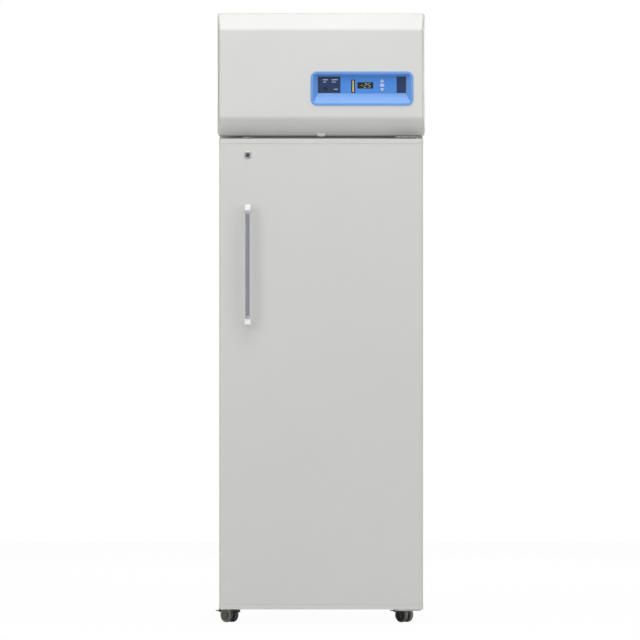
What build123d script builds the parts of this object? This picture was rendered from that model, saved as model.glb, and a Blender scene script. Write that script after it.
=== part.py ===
from build123d import *
import math
import os

# Upright laboratory freezer with one solid door and the refrigeration unit on top.
# Frame: +X to the viewer's right, +Y to the back, +Z up, origin on the floor at the
# middle of the whole freezer, handle and rear bumpers included. Millimetres.

# Overall sizes
overall_height = 1994.0
cabinet_width = 664.0
cabinet_depth = 800.0
caster_height = 78.0
rail_height = 20.0
rail_width = 100.0

# Insulated walls of the storage chamber
side_wall = 60.0
back_wall = 68.0
top_wall = 80.0
bottom_wall = 66.0
shell_sheet = 1.0
liner_sheet = 1.0
liner_corner = 14.0
side_flange = 42.0
top_flange = 58.0
breaker_depth = 6.0

# Door
door_thickness = 68.0
door_bottom = 49.0
door_top_gap = 17.0
door_sheet = 1.0
door_corner = 8.0
cap_height = 16.0
cap_proud = 0.8
skin_return = 15.0
plug_gap = 12.0
plug_depth = 22.0
plug_wall = 2.0
gasket_depth = 12.0
gasket_width = 16.0
gasket_clearance = 0.3

# Door hinge
pin_radius = 5.0
pin_inset = 20.0
pin_setback = 25.0
pin_clearance = 0.08
bracket_width = 86.0
bracket_thickness = 5.0
bracket_leg = 4.0
top_bracket_gap = 3.0
bottom_bracket_gap = 0.3

# Door handle and lock
handle_inset = 93.0
handle_spacing = 371.0
handle_drop = 412.0
handle_projection = 46.0
post_size = 21.0
post_bevel = 4.0
bar_width = 16.0
bar_thickness = 13.0
bar_bevel = 3.0
bar_socket = 8.0
inlay_width = 11.0
inlay_end_gap = 9.0
inlay_depth = 1.2
inlay_proud = 0.4
lock_drop = 54.0
lock_bezel_radius = 13.0
lock_bezel_proud = 3.0
lock_barrel_radius = 9.5
lock_barrel_length = 30.0
cylinder_radius = 6.5
cylinder_clearance = 0.08
keyway_width = 2.0
keyway_height = 8.0
crank_radius = 8.5
crank_width = 8.0
crank_thickness = 4.0
crank_pin_radius = 2.5
crank_pin_length = 7.0
crank_pin_clearance = 0.4
bolt_width = 12.0
bolt_thickness = 6.0
bolt_clearance = 0.3
yoke_width = 28.0
yoke_height = 16.0
lock_pocket_width = 44.0
lock_pocket_depth = 52.0
lock_pocket_drop = 24.0
keeper_width = 34.0
keeper_thickness = 3.0

# Hood over the refrigeration unit
hood_height = 391.0
hood_gap = 3.0
hood_overhang = 6.0
hood_proud = 12.0
hood_wall = 4.0
hood_bevel_depth = 46.0
hood_bevel_top = 54.0
hood_bevel_bottom = 47.0
hood_bevel_side = 6.0
hood_corner = 10.0
hood_length = 135.0
hood_lip = 8.0
tab_radius = 14.5
tab_drop = 12.0
hood_rod_radius = 4.0
hood_rod_drop = 13.0
hood_rod_setback = 8.0
hood_boss_size = 17.0
hood_rail_height = 12.0
hood_boss_length = 12.0
rod_clearance = 0.08
ear_thickness = 4.0
ear_wall = 2.5
ear_side_inset = 82.0
hinge_rail_front = 30.0
hinge_rail_back = 14.0

# Control panel in the hood
panel_width = 334.0
panel_height = 111.0
panel_corner = 20.0
panel_right_margin = 38.0
panel_bottom_margin = 87.0
panel_rim = 5.0
panel_proud = 2.0
panel_recess = 18.0
panel_wall = 2.5
window_side_margin = 21.0
window_bottom_margin = 39.0
window_top_margin = 13.0
overlay_thickness = 1.2
display_width = 52.0
display_height = 21.0
display_right_of_middle = 11.0
display_drop = 2.0
key_right_of_middle = 66.0
key_size = 15.0
key_pitch = 15.5
key_drop = 1.5
key_proud = 1.8
key_clearance = 0.3
key_skirt = 2.2
board_thickness = 1.6
board_standoff = 6.0

# Storage fittings
shelf_count = 4
shelf_sheet = 1.2
shelf_flange = 22.0
shelf_back_gap = 35.0
shelf_front_gap = 57.0
shelf_side_gap = 2.0
slot_columns = 7
slot_bar = 32.0
slot_end_margin = 40.0
standard_width = 25.0
standard_depth = 8.0
standard_sheet = 1.5
standard_setback = 145.0
standard_back_setback = 127.0
notch_width = 14.0
notch_height = 5.0
notches_per_bay = 1
clip_width = 12.0
clip_reach = 18.0
clip_sheet = 2.0

# Evaporator under the chamber's ceiling
evaporator_height = 120.0
evaporator_side_gap = 22.0
evaporator_depth = 390.0
evaporator_back_gap = 55.0
evaporator_sheet = 1.2
evaporator_fan_radius = 82.0
evaporator_fan_setback = 120.0
guard_slots = 6
guard_slot_width = 16.0
evaporator_coil_depth = 100.0
evaporator_coil_height = 75.0
evaporator_coil_end_gap = 50.0
evaporator_coil_back_gap = 20.0
evaporator_coil_top_gap = 15.0
fan_lift = 4.0
fan_tip_gap = 6.0

# Refrigeration unit on top of the cabinet
machine_sheet = 1.2
machine_height = 362.0
machine_flange = 16.0
vent_rows = 5
vent_length = 160.0
vent_height = 10.0
vent_pitch = 30.0
vent_back_inset = 170.0
grille_rows = 5
grille_end_margin = 66.0
grille_middle_bar = 50.0
grille_rise = 40.0
grille_slot_height = 12.0
grille_pitch = 32.0
coil_past_middle = 24.0
coil_height = 296.0
coil_depth = 60.0
coil_side_gap = 36.0
coil_front_gap = 42.0
coil_foot = 6.0
fin_pitch = 24.0
fin_thickness = 2.0
fin_reach = 10.0
coil_plate = 1.5
filter_depth = 16.0
filter_frame = 12.0
pleat_count = 9
shroud_depth = 55.0
condenser_fan_radius = 108.0
fan_hub_radius = 14.0
fan_hub_length = 24.0
fan_blades = 5
fan_pitch = 26.0
fan_root = 7.0
fan_blade_sheet = 1.6
motor_radius = 30.0
motor_length = 50.0
motor_gap = 0.3
strap_width = 18.0
strap_thickness = 2.0
compressor_side_gap = 54.0
compressor_lane_gap = 48.0
compressor_width = 140.0
compressor_corner = 32.0
compressor_height = 180.0
compressor_setback = 253.0
compressor_plate = 3.0
plate_margin = 8.0
terminal_length = 20.0
terminal_width = 48.0
terminal_height = 46.0
grommet_size = 22.0
grommet_height = 16.0
compressor_bevel = 20.0
pipe_radius = 4.0
pipe_lane = 34.0
drier_radius = 12.0
drier_stand = 36.0
drier_length = 110.0
suction_stand = 50.0
port_inset = 10.0
control_box_side_gap = 24.0
control_box_lane_gap = 18.0
control_box_depth = 90.0
control_box_height = 268.0
lid_thickness = 3.0
lid_overlap = 2.0
inlet_width = 48.0
inlet_height = 27.0
inlet_flange = 5.0
inlet_flange_thickness = 2.5
inlet_depth = 24.0
inlet_wall = 2.5
inlet_side_inset = 70.0
inlet_rise = 34.0
blade_length = 15.0
blade_width = 6.0
blade_sheet = 2.0
blade_pitch = 10.0

# Rear bumpers
bumper_depth = 20.0
bumper_width = 50.0
bumper_length = 30.0
bumper_side_inset = 92.0
bumper_drop = 150.0

# Casters
caster_side_inset = 45.0
caster_front_inset = 64.0
rear_axle_inset = 60.0
rear_cheek = 6.0
rear_cheek_width = 44.0
caster_turn = 45.0
caster_plate_size = 64.0
caster_plate_thickness = 4.0
kingpin_radius = 5.0
kingpin_length = 15.0
kingpin_clearance = 0.08
fork_gap = 1.0
fork_web = 10.0
fender_gap = 3.0
fender_wall = 3.0
fender_drop = 8.0
wheel_radius = 25.0
wheel_width = 13.0
wheel_gap = 1.0
wheel_trail = 20.0
axle_radius = 4.0
axle_clearance = 0.08
pedal_width = 16.0
pedal_length = 26.0
pedal_thickness = 3.0
pedal_height = 38.0
pedal_clearance = 0.6

# Levels worked out from the sizes above
overall_depth = handle_projection + door_thickness + gasket_depth + cabinet_depth + bumper_depth
half_width = cabinet_width / 2
door_front = -overall_depth / 2 + handle_projection
door_back = door_front + door_thickness
cabinet_front = door_back + gasket_depth
cabinet_back = cabinet_front + cabinet_depth
body_bottom = caster_height + rail_height
body_top = overall_height - hood_height - hood_gap
door_top = body_top - door_top_gap
chamber_half = half_width - side_wall
chamber_back = cabinet_back - back_wall
chamber_floor = body_bottom + bottom_wall
chamber_ceiling = body_top - top_wall
evaporator_bottom = chamber_ceiling - evaporator_height
shelf_depth = chamber_back - shelf_back_gap - cabinet_front - shelf_front_gap
flange_half = half_width - side_flange
flange_low = body_bottom + side_flange
flange_high = body_top - top_flange
hood_front = door_front - hood_proud
hood_back = hood_front + hood_length
hood_half = half_width + hood_overhang
hood_bottom = overall_height - hood_height
machine_top = body_top + machine_height
bay_height = (evaporator_bottom - chamber_floor) / (shelf_count + 1)
handle_x = -half_width + handle_inset
lock_z = door_top - lock_drop
pin_x = half_width - pin_inset
pin_y = door_front + pin_setback
handle_centre_height = door_top - handle_drop
window_width = panel_width - 2 * window_side_margin
window_height = panel_height - window_bottom_margin - window_top_margin
evaporator_width = 2 * (chamber_half - evaporator_side_gap)
coil_width = half_width - coil_side_gap + coil_past_middle
lane_x = coil_past_middle + pipe_lane
compressor_length = half_width - compressor_side_gap - lane_x - compressor_lane_gap
compressor_x = half_width - compressor_side_gap - compressor_length / 2
compressor_y = cabinet_back - compressor_setback
bumper_spacing = cabinet_width - 2 * bumper_side_inset
ear_spacing = cabinet_width - 2 * ear_side_inset


def block(x_range, y_range, z_range):
    """Box between two opposite corners."""
    (x0, x1), (y0, y1), (z0, z1) = x_range, y_range, z_range
    centre = Pos((x0 + x1) / 2, (y0 + y1) / 2, (z0 + z1) / 2)
    return centre * Box(x1 - x0, y1 - y0, z1 - z0)


def rod(start, end, radius):
    """Round bar from one point to another."""
    along = Vector(*end) - Vector(*start)
    return extrude(Plane(origin=start, z_dir=along) * Circle(radius), along.length)


def front_sketch(shape, x, y, z):
    """A sketch drawn as the viewer sees it, at depth y, with its normal to the back."""
    facing_back = Plane(origin=(x, y, z), x_dir=(1, 0, 0), z_dir=(0, -1, 0))
    return facing_back * shape


def to_back(sketch, depth):
    """Extrudes a front sketch away from the viewer."""
    return extrude(sketch, amount=depth, dir=(0, 1, 0))


def mirrored_pair(shape):
    """A solid and its mirror image on the other side of the freezer."""
    return [shape, mirror(shape, about=Plane.YZ)]


def grid(shape, pitch_x, pitch_y, columns, rows):
    """One sketch of the same shape repeated on a centred grid."""
    return Sketch() + GridLocations(pitch_x, pitch_y, columns, rows) * shape


def group(*shapes):
    """Separate solids kept in one node."""
    return Compound(children=[solid for shape in shapes for solid in shape.solids()])


# Cabinet

def liner_volume(extra):
    """The chamber's space, grown outwards by extra and open past the breaker frame."""
    half = chamber_half + extra
    body = block(
        (-half, half),
        (cabinet_front + breaker_depth, chamber_back + extra),
        (chamber_floor - extra, chamber_ceiling + extra),
    )
    long_edges = body.edges().filter_by(Axis.Y)
    return fillet(long_edges, liner_corner + extra)


def cabinet_shell():
    outer = block((-half_width, half_width), (cabinet_front, cabinet_back), (body_bottom, body_top))
    opening = block((-flange_half, flange_half), (cabinet_front, cabinet_front + shell_sheet),
                    (flange_low, flange_high))
    return outer - foam_envelope() - opening


def foam_envelope():
    half = half_width - shell_sheet
    return block((-half, half), (cabinet_front + shell_sheet, cabinet_back - shell_sheet),
                 (body_bottom + shell_sheet, body_top - shell_sheet))


def breaker_block():
    return block((-flange_half, flange_half), (cabinet_front, cabinet_front + breaker_depth),
                 (flange_low, flange_high))


def cabinet_foam():
    return foam_envelope() - breaker_block() - liner_volume(liner_sheet)


def cabinet_liner():
    return liner_volume(liner_sheet) - liner_volume(0)


def breaker_frame():
    # The plastic frame that keeps the cold liner away from the warm steel flange.
    mouth = liner_volume(0)
    through = Pos(0, -breaker_depth, 0) * mouth
    return breaker_block() - through


def base_frame():
    inset = 2.0
    half = half_width - inset
    front, back = cabinet_front + inset, cabinet_back - inset
    frame = block((-half, half), (front, back), (caster_height, body_bottom))
    frame -= block((-half + rail_width, half - rail_width), (front + rail_width, back - rail_width),
                   (caster_height, body_bottom))
    wall = 2.0
    trough = block((-half + wall, half - wall), (front + wall, back - wall),
                   (caster_height + wall, body_bottom))
    trough -= block((-half + rail_width - wall, half - rail_width + wall),
                    (front + rail_width - wall, back - rail_width + wall),
                    (caster_height + wall, body_bottom))
    return frame - trough


def rear_bumpers():
    half = bumper_width / 2
    return group(*[
        block((x - half, x + half), (cabinet_back, cabinet_back + bumper_depth),
              (body_top - bumper_drop, body_top - bumper_drop + bumper_length))
        for x in (-bumper_spacing / 2, bumper_spacing / 2)
    ])


# Shelves and what carries them

def shelf_level(index):
    """Height of a shelf's top face, counted from 1 at the bottom."""
    return chamber_floor + index * bay_height


def standard_places():
    front, back = cabinet_front + standard_setback, chamber_back - standard_back_setback
    return [(side, y) for side in (-1, 1) for y in (front, back)]


def shelf_standards():
    """Slotted channels on the side walls that the shelf clips hook into."""
    pitch = bay_height / notches_per_bay
    low, high = chamber_floor + bay_height / 2, evaporator_bottom
    half = standard_width / 2
    face = chamber_half - standard_depth
    strip = block((face, chamber_half), (-half, half), (low, high))
    strip -= block((face + standard_sheet, chamber_half),
                   (-half + standard_sheet, half - standard_sheet), (low, high))
    for row in range(notches_per_bay, (shelf_count + 1) * notches_per_bay):
        level = chamber_floor + row * pitch - clip_drop()
        strip -= block((face, face + standard_sheet), (-notch_width / 2, notch_width / 2),
                       (level - notch_height / 2, level + notch_height / 2))
    other = mirror(strip, about=Plane.YZ)
    return group(*[Pos(0, y, 0) * (strip if side > 0 else other) for side, y in standard_places()])


def clip_drop():
    """How far below a shelf's top face the clip's ledge is."""
    return shelf_flange + clip_sheet / 2


def shelf_clips():
    """Gusseted clips: a tongue through the standard's notch, a ledge under the shelf's edge."""
    face = chamber_half - standard_depth
    inner, back = face - clip_reach, face + 2 * standard_sheet
    half = clip_sheet / 2
    profile = Polygon((inner, -half), (face, -4 * clip_sheet), (face, -half), (back, -half),
                      (back, half), (inner, half), align=None)
    clip = extrude(Plane.XZ * profile, clip_width / 2, both=True)
    other = mirror(clip, about=Plane.YZ)
    placed = []
    for index in range(1, shelf_count + 1):
        level = shelf_level(index) - clip_drop()
        for side, y in standard_places():
            placed.append(Pos(0, y, level) * (clip if side > 0 else other))
    return group(*placed)


def shelf(index):
    """Pressed shelf with folded edges and rows of air slots."""
    half = chamber_half - standard_depth - shelf_side_gap
    front = cabinet_front + shelf_front_gap
    back = front + shelf_depth
    top = shelf_level(index)
    tray = block((-half, half), (front, back), (top - shelf_flange, top))
    tray -= block((-half + shelf_sheet, half - shelf_sheet),
                  (front + shelf_sheet, back - shelf_sheet),
                  (top - shelf_flange, top - shelf_sheet))
    pitch = 2 * half / slot_columns
    slots = grid(Rectangle(pitch - slot_bar, shelf_depth - 2 * slot_end_margin), pitch, 1,
                 slot_columns, 1)
    cut = extrude(Pos(0, (front + back) / 2, top - shelf_sheet) * slots, shelf_sheet)
    return tray - cut


# Fans, motors and coils

def fan(radius):
    """Axial fan on its own axis: a flat-sided spider from z 0 upwards, a blade on each side."""
    hub = extrude(RegularPolygon(fan_hub_radius, fan_blades, major_radius=False), fan_hub_length)
    blade = fan_blade(radius)
    turn = 360 / fan_blades
    start = face_direction(hub)
    return hub + [Rot(0, 0, start + turn * step) * blade for step in range(fan_blades)]


def face_direction(hub):
    """Direction of one side of the spider, in degrees from +X."""
    side = hub.faces().filter_by(Axis.Z, reverse=True)[0].normal_at()
    return math.degrees(math.atan2(side.Y, side.X))


def fan_blade(radius):
    """Flat pitched blade, wider at the tip, with its root inside the hub."""
    tilt = math.radians(fan_pitch)
    root = fan_hub_radius - 2
    tip_chord = min(0.62 * radius, 0.92 * fan_hub_length / math.sin(tilt))
    plane = Plane(origin=(0, 0, fan_hub_length / 2), x_dir=(1, 0, 0),
                  z_dir=(0, -math.sin(tilt), math.cos(tilt)))
    outline = Polygon((root, -fan_root), (0.82 * radius, -tip_chord / 2), (radius, -tip_chord / 3),
                      (radius, tip_chord / 3), (0.9 * radius, tip_chord / 2), (root, fan_root), align=None)
    return extrude(plane * outline, fan_blade_sheet / 2, both=True)


def motor():
    """Fan motor just above a fan on the same axis."""
    low = fan_hub_length + motor_gap
    return Pos(0, 0, low) * extrude(Circle(motor_radius), motor_length)


def motor_top():
    return fan_hub_length + motor_gap + motor_length


def finned_block(width, depth, height):
    """Finned coil, centred in x and y, from z 0 up, with its fins open at the front."""
    columns = round(width / fin_pitch)
    slots = grid(Rectangle(fin_pitch - fin_thickness, fin_reach), fin_pitch, 1, columns - 1, 1)
    profile = Rectangle(width - 2 * coil_plate, depth) - Pos(0, (fin_reach - depth) / 2) * slots
    return extrude(profile, height)


def coil_end_plates(width, depth, low, high):
    half = width / 2
    return [
        block((x0, x1), (-depth / 2, depth / 2), (low, high))
        for x0, x1 in ((-half, -half + coil_plate), (half - coil_plate, half))
    ]


# Evaporator in the chamber

evaporator_back = chamber_back - evaporator_back_gap
evaporator_front = evaporator_back - evaporator_depth
evaporator_fan_y = evaporator_front + evaporator_fan_setback


def evaporator_cover():
    half = evaporator_width / 2
    sheet = evaporator_sheet
    pan = block((-half, half), (evaporator_front, evaporator_back),
                (evaporator_bottom, chamber_ceiling))
    pan -= block((-half + sheet, half - sheet), (evaporator_front + sheet, evaporator_back),
                 (evaporator_bottom + sheet, chamber_ceiling))
    span = 2 * evaporator_fan_radius
    slots = grid(Rectangle(span, guard_slot_width), 1, span / guard_slots, 1, guard_slots)
    return pan - extrude(Pos(0, evaporator_fan_y, evaporator_bottom) * slots, sheet)


def evaporator_coil():
    y = evaporator_back - evaporator_coil_depth / 2 - evaporator_coil_back_gap
    lift = chamber_ceiling - evaporator_coil_height - evaporator_coil_top_gap
    width = evaporator_width - 2 * evaporator_coil_end_gap
    fins = extrude(Rectangle(width - 2 * coil_plate, evaporator_coil_depth),
                   evaporator_coil_height)
    plates = coil_end_plates(width, evaporator_coil_depth, -evaporator_coil_top_gap / 3,
                             chamber_ceiling - lift)
    return group(*[Pos(0, y, lift) * piece for piece in (fins, *plates)])


def evaporator_axis():
    """Where the evaporator fan stands: its hub starts just above the cover's sheet."""
    return Pos(0, evaporator_fan_y, evaporator_bottom + evaporator_sheet + fan_lift)


def evaporator_fan():
    return evaporator_axis() * fan(evaporator_fan_radius)


# Condenser unit above the cabinet

condenser_x = -half_width + coil_side_gap + coil_width / 2
condenser_z = body_top + coil_foot + coil_height / 2
coil_front = cabinet_front + coil_front_gap
coil_back = coil_front + coil_depth
shroud_back = coil_back + shroud_depth


def condenser_coil():
    upright = Pos(condenser_x, (coil_front + coil_back) / 2, body_top)
    fins = Pos(0, 0, coil_foot) * finned_block(coil_width, coil_depth, coil_height)
    plates = coil_end_plates(coil_width, coil_depth, 0, coil_height + 2 * coil_foot)
    return group(*[upright * piece for piece in (fins, *plates)])


def condenser_shroud():
    half = coil_width / 2
    sheet = coil_plate
    x_range = (condenser_x - half, condenser_x + half)
    top = body_top + coil_height + 2 * coil_foot
    hood = block(x_range, (coil_back, shroud_back), (body_top, top))
    hood -= block((x_range[0] + sheet, x_range[1] - sheet), (coil_back, shroud_back - sheet),
                  (body_top + sheet, top - sheet))
    return hood - rod((condenser_x, shroud_back - sheet, condenser_z),
                      (condenser_x, shroud_back, condenser_z), condenser_fan_radius + fan_tip_gap)


def condenser_axis():
    """Where the condenser fan stands: its axis runs to the back through the shroud's ring."""
    start = (condenser_x, shroud_back - fan_hub_length + fan_lift, condenser_z)
    return Location(Plane(origin=start, x_dir=(1, 0, 0), z_dir=(0, 1, 0)))


def condenser_fan():
    return condenser_axis() * fan(condenser_fan_radius)


def fan_motors():
    """Both fan motors: one strapped to the shroud, one hung from the chamber's ceiling."""
    half = condenser_fan_radius + fan_tip_gap + 12
    wide, top = strap_width / 2, motor_top()
    strap = block((-half, half), (-wide, wide), (top, top + strap_thickness))
    feet = block((half - strap_thickness, half), (-wide, wide), (fan_hub_length - fan_lift, top))
    ceiling = chamber_ceiling - evaporator_bottom - evaporator_sheet - fan_lift
    hanger = block((-motor_radius, motor_radius), (-wide, wide), (top, ceiling))
    return group(condenser_axis() * (motor() + strap + mirrored_pair(feet)),
                 evaporator_axis() * (motor() + hanger))


def air_filter():
    """Pleated filter in a frame, standing against the condenser's front."""
    half = coil_width / 2
    low, high = body_top, body_top + coil_height + 2 * coil_foot
    y_range = (coil_front - filter_depth, coil_front)
    frame = block((condenser_x - half, condenser_x + half), y_range, (low, high))
    frame -= block((condenser_x - half + filter_frame, condenser_x + half - filter_frame), y_range,
                   (low + filter_frame, high - filter_frame))
    span = coil_width - 2 * filter_frame
    pitch = span / pleat_count
    sheet = 1.0
    depth = filter_depth - 4
    ridge = [(-span / 2 + pitch * step / 2, depth / 2 * (-1) ** step)
             for step in range(2 * pleat_count + 1)]
    outline = ridge + [(x, y - sheet) for x, y in reversed(ridge)]
    media = extrude(make_face(Polyline(*outline, close=True)), high - low - 2 * filter_frame)
    middle = (y_range[0] + y_range[1]) / 2
    return group(frame, Pos(condenser_x, middle, low + filter_frame) * media)


def compressor():
    """Hermetic compressor: oval pot with a bevelled lid on its mounting plate."""
    pot = extrude(RectangleRounded(compressor_length, compressor_width, compressor_corner),
                  compressor_height)
    pot = chamfer(pot.faces().sort_by(Axis.Z)[-1].edges(), compressor_bevel)
    base = body_top + grommet_height
    x_half, y_half = compressor_length / 2 + plate_margin, compressor_width / 2 + plate_margin
    plate = block((-x_half, x_half), (-y_half, y_half), (base, base + compressor_plate))
    low = base + compressor_height * 0.3
    terminals = block((compressor_length / 2, compressor_length / 2 + terminal_length),
                      (-terminal_width / 2, terminal_width / 2), (low, low + terminal_height))
    pot = Pos(0, 0, base + compressor_plate) * pot
    return group(*[Pos(compressor_x, compressor_y, 0) * piece for piece in (plate, pot, terminals)])


def grommet_places():
    x_step, y_step = compressor_length / 2 - plate_margin, compressor_width / 2 - plate_margin
    return [(compressor_x + sx * x_step, compressor_y + sy * y_step)
            for sx in (-1, 1) for sy in (-1, 1)]


def compressor_grommets():
    half = grommet_size / 2
    return group(*[block((x - half, x + half), (y - half, y + half),
                         (body_top, body_top + grommet_height)) for x, y in grommet_places()])


def pipe(*points):
    """Copper tube along straight runs with mitred elbows."""
    path = Polyline(*points)
    start = Plane(origin=path @ 0, z_dir=path % 0)
    return sweep(start * Circle(pipe_radius), path, transition=Transition.RIGHT)


def refrigerant_lines():
    """Discharge, liquid and suction lines, with the filter drier on the liquid line."""
    side, lane = coil_past_middle, lane_x
    coil_y = (coil_front + coil_back) / 2
    port_x = compressor_x - compressor_length / 2
    port_z = body_top + grommet_height + compressor_plate + 0.35 * compressor_height
    high = body_top + drier_stand + drier_length + drier_stand
    discharge = pipe((port_x, compressor_y, port_z), (lane, compressor_y, port_z),
                     (lane, coil_back - port_inset, port_z), (side, coil_back - port_inset, port_z))
    liquid_y = coil_front + port_inset
    liquid = pipe((side, liquid_y, high), (lane, liquid_y, high),
                  (lane, liquid_y, high - drier_stand))
    drier = rod((lane, liquid_y, high - drier_stand - drier_length),
                (lane, liquid_y, high - drier_stand), drier_radius)
    capillary = pipe((lane, liquid_y, body_top), (lane, liquid_y, body_top + drier_stand))
    suction_y = compressor_y - compressor_width / 2
    stand_y = suction_y - suction_stand
    suction = pipe((compressor_x, stand_y, body_top), (compressor_x, stand_y, port_z),
                   (compressor_x, suction_y, port_z))
    return group(discharge, liquid, drier, capillary, suction)


def control_box():
    x_range = (lane_x + control_box_lane_gap, half_width - control_box_side_gap)
    front = coil_front - filter_depth / 2
    box = block(x_range, (front, front + control_box_depth),
                (body_top, body_top + control_box_height))
    lid = block((x_range[0] - lid_overlap, x_range[1] + lid_overlap), (front - lid_thickness, front),
                (body_top, body_top + control_box_height + lid_overlap))
    return group(box, lid)


# Panels round the refrigeration unit

def machine_side_panels():
    outer = half_width
    panel = block((outer - machine_sheet, outer), (cabinet_front, cabinet_back),
                  (body_top, machine_top))
    panel += block((outer - machine_flange, outer), (cabinet_front, cabinet_back),
                   (machine_top - machine_sheet, machine_top))
    vents = Pos(cabinet_back - vent_back_inset, body_top + machine_height / 2) * grid(
        Rectangle(vent_length, vent_height), 1, vent_pitch, 1, vent_rows)
    side_plane = Plane(origin=(outer, 0, 0), x_dir=(0, 1, 0), z_dir=(1, 0, 0))
    panel -= extrude(side_plane * vents, -machine_sheet)
    return group(*mirrored_pair(panel))


def rear_grille():
    half = half_width - machine_sheet
    back = cabinet_back
    panel = block((-half, half), (back - machine_sheet, back),
                  (body_top, machine_top - machine_sheet))
    length = half_width - grille_end_margin - grille_middle_bar / 2
    slots = Pos(0, machine_height / 2 + grille_rise) * grid(
        Rectangle(length, grille_slot_height), length + grille_middle_bar, grille_pitch,
        2, grille_rows)
    panel -= to_back(front_sketch(slots, 0, back - machine_sheet, body_top), machine_sheet)
    hole = Rectangle(inlet_width, inlet_height)
    x, z = inlet_place()
    return panel - to_back(front_sketch(hole, x, back - machine_sheet, z), machine_sheet)


def inlet_place():
    return half_width - inlet_side_inset, body_top + inlet_rise


def power_inlet():
    """Recessed appliance inlet with three blades."""
    x, z = inlet_place()
    back = cabinet_back
    wide, tall = inlet_width + 2 * inlet_flange, inlet_height + 2 * inlet_flange
    flange = to_back(front_sketch(Rectangle(wide, tall), x, back, z), inlet_flange_thickness)
    flange = chamfer(flange.edges().filter_by(Axis.Y), 4)
    body = to_back(front_sketch(Rectangle(inlet_width, inlet_height), x, back - inlet_depth, z),
                   inlet_depth)
    well = to_back(front_sketch(Rectangle(inlet_width - 2 * inlet_wall, inlet_height - 2 * inlet_wall),
                                x, back - inlet_depth + inlet_wall, z),
                   inlet_depth + inlet_flange_thickness)
    outer, middle = (blade_pitch, -blade_width / 2), (0, blade_width * 2 / 3)
    blades = [
        to_back(front_sketch(Rectangle(blade_sheet, blade_width), x + side * dx,
                             back - inlet_depth + inlet_wall, z + dz), blade_length)
        for side, (dx, dz) in ((-1, outer), (0, middle), (1, outer))
    ]
    return flange + body - well + blades


def hood_hinge():
    """Cross rail whose two forked ears carry the hood's hinge rod."""
    half = half_width - machine_sheet
    y, z = hood_axis()
    rail_low, rail_high = machine_top - hood_rail_height, machine_top - machine_sheet
    rail = block((-half, half), (y - hinge_rail_front, y + hinge_rail_back), (rail_low, rail_high))
    rod_half = hood_half - 2 * hood_wall
    hinge_rod = rod((-rod_half, y, z), (rod_half, y, z), hood_rod_radius)
    ears = []
    for x in (-ear_spacing / 2, ear_spacing / 2):
        x_range = (x - ear_thickness / 2, x + ear_thickness / 2)
        ear = block(x_range, (y - hood_rod_radius - ear_wall, y + hood_rod_radius + ear_wall),
                    (rail_high, z + hood_rod_radius))
        ears.append(ear - block(x_range, (y - hood_rod_radius, y + hood_rod_radius),
                                (z - hood_rod_radius, z + hood_rod_radius)))
    return group(rail + ears, hinge_rod)


def hood_axis():
    """Depth and height of the rod that the hood swings on."""
    return hood_back - hood_rod_setback, overall_height - hood_rod_drop


# Hood with its control panel

def hood_side(grow):
    """The hood seen from the side, bevelled above and below its face."""
    shoulder = hood_front + hood_bevel_depth
    side = Polygon((shoulder, hood_bottom), (hood_back, hood_bottom), (hood_back, overall_height),
                   (shoulder, overall_height), (hood_front, overall_height - hood_bevel_top),
                   (hood_front, hood_bottom + hood_bevel_bottom), align=None)
    side = offset(side, grow, kind=Kind.INTERSECTION) if grow else side
    return extrude(Plane.YZ * side, hood_half, both=True)


def hood_plan(grow):
    """The hood seen from above, a little narrower at its face."""
    shoulder, face_half = hood_front + hood_bevel_depth, hood_half - hood_bevel_side
    plan = Polygon((-face_half, hood_front), (face_half, hood_front), (hood_half, shoulder),
                   (hood_half, hood_back), (-hood_half, hood_back), (-hood_half, shoulder),
                   align=None)
    plan = offset(plan, grow, kind=Kind.INTERSECTION) if grow else plan
    return extrude(Pos(0, 0, hood_bottom) * plan, hood_height)


def hood_form():
    """Outer form of the hood, with its four corners rounded as seen from the front."""
    middle = overall_height - hood_height / 2
    outline = RectangleRounded(2 * hood_half, hood_height, hood_corner)
    tube = to_back(front_sketch(outline, 0, hood_front, middle), hood_length)
    return tube & hood_side(0) & hood_plan(0)


def hood_cavity():
    """Space inside the hood, open at the back and below behind its lip."""
    shoulder, inner = hood_front + hood_bevel_depth, hood_half - hood_wall
    cavity = hood_side(-hood_wall) & hood_plan(-hood_wall)
    cavity += block((-inner, inner), (shoulder, hood_back),
                    (hood_bottom + hood_wall, overall_height - hood_wall))
    return cavity + block((-inner, inner), (shoulder + hood_lip, hood_back),
                          (hood_bottom, hood_bottom + hood_wall))


def hood_panel():
    """Moulded hood, open at the back and below, with its finger tab and hinge bosses."""
    shoulder = hood_front + hood_bevel_depth
    inner = hood_half - hood_wall
    x, z = panel_centre()
    opening = RectangleRounded(panel_width - 2 * panel_rim, panel_height - 2 * panel_rim,
                               panel_corner - panel_rim)
    shell = hood_form() - hood_cavity()
    shell -= to_back(front_sketch(opening, x, hood_front, z), hood_wall)
    tab = to_back(front_sketch(Circle(tab_radius), 0, shoulder, hood_bottom + 2), hood_wall)
    tab &= block((-tab_radius, tab_radius), (shoulder, shoulder + hood_wall),
                 (hood_bottom - tab_drop, hood_bottom + 2))
    y, rod_z = hood_axis()
    size = hood_boss_size / 2
    boss = block((inner - hood_boss_length, inner), (y - size, hood_back),
                 (rod_z - size, overall_height - hood_wall))
    boss -= rod((inner - hood_boss_length, y, rod_z), (inner - 2, y, rod_z),
                hood_rod_radius + rod_clearance)
    return shell + tab + mirrored_pair(boss)


def panel_centre():
    """Middle of the control panel on the hood's face."""
    x = hood_half - panel_right_margin - panel_width / 2
    return x, hood_bottom + panel_bottom_margin + panel_height / 2


def window_centre():
    x, z = panel_centre()
    return x, z - panel_height / 2 + window_bottom_margin + window_height / 2


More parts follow.
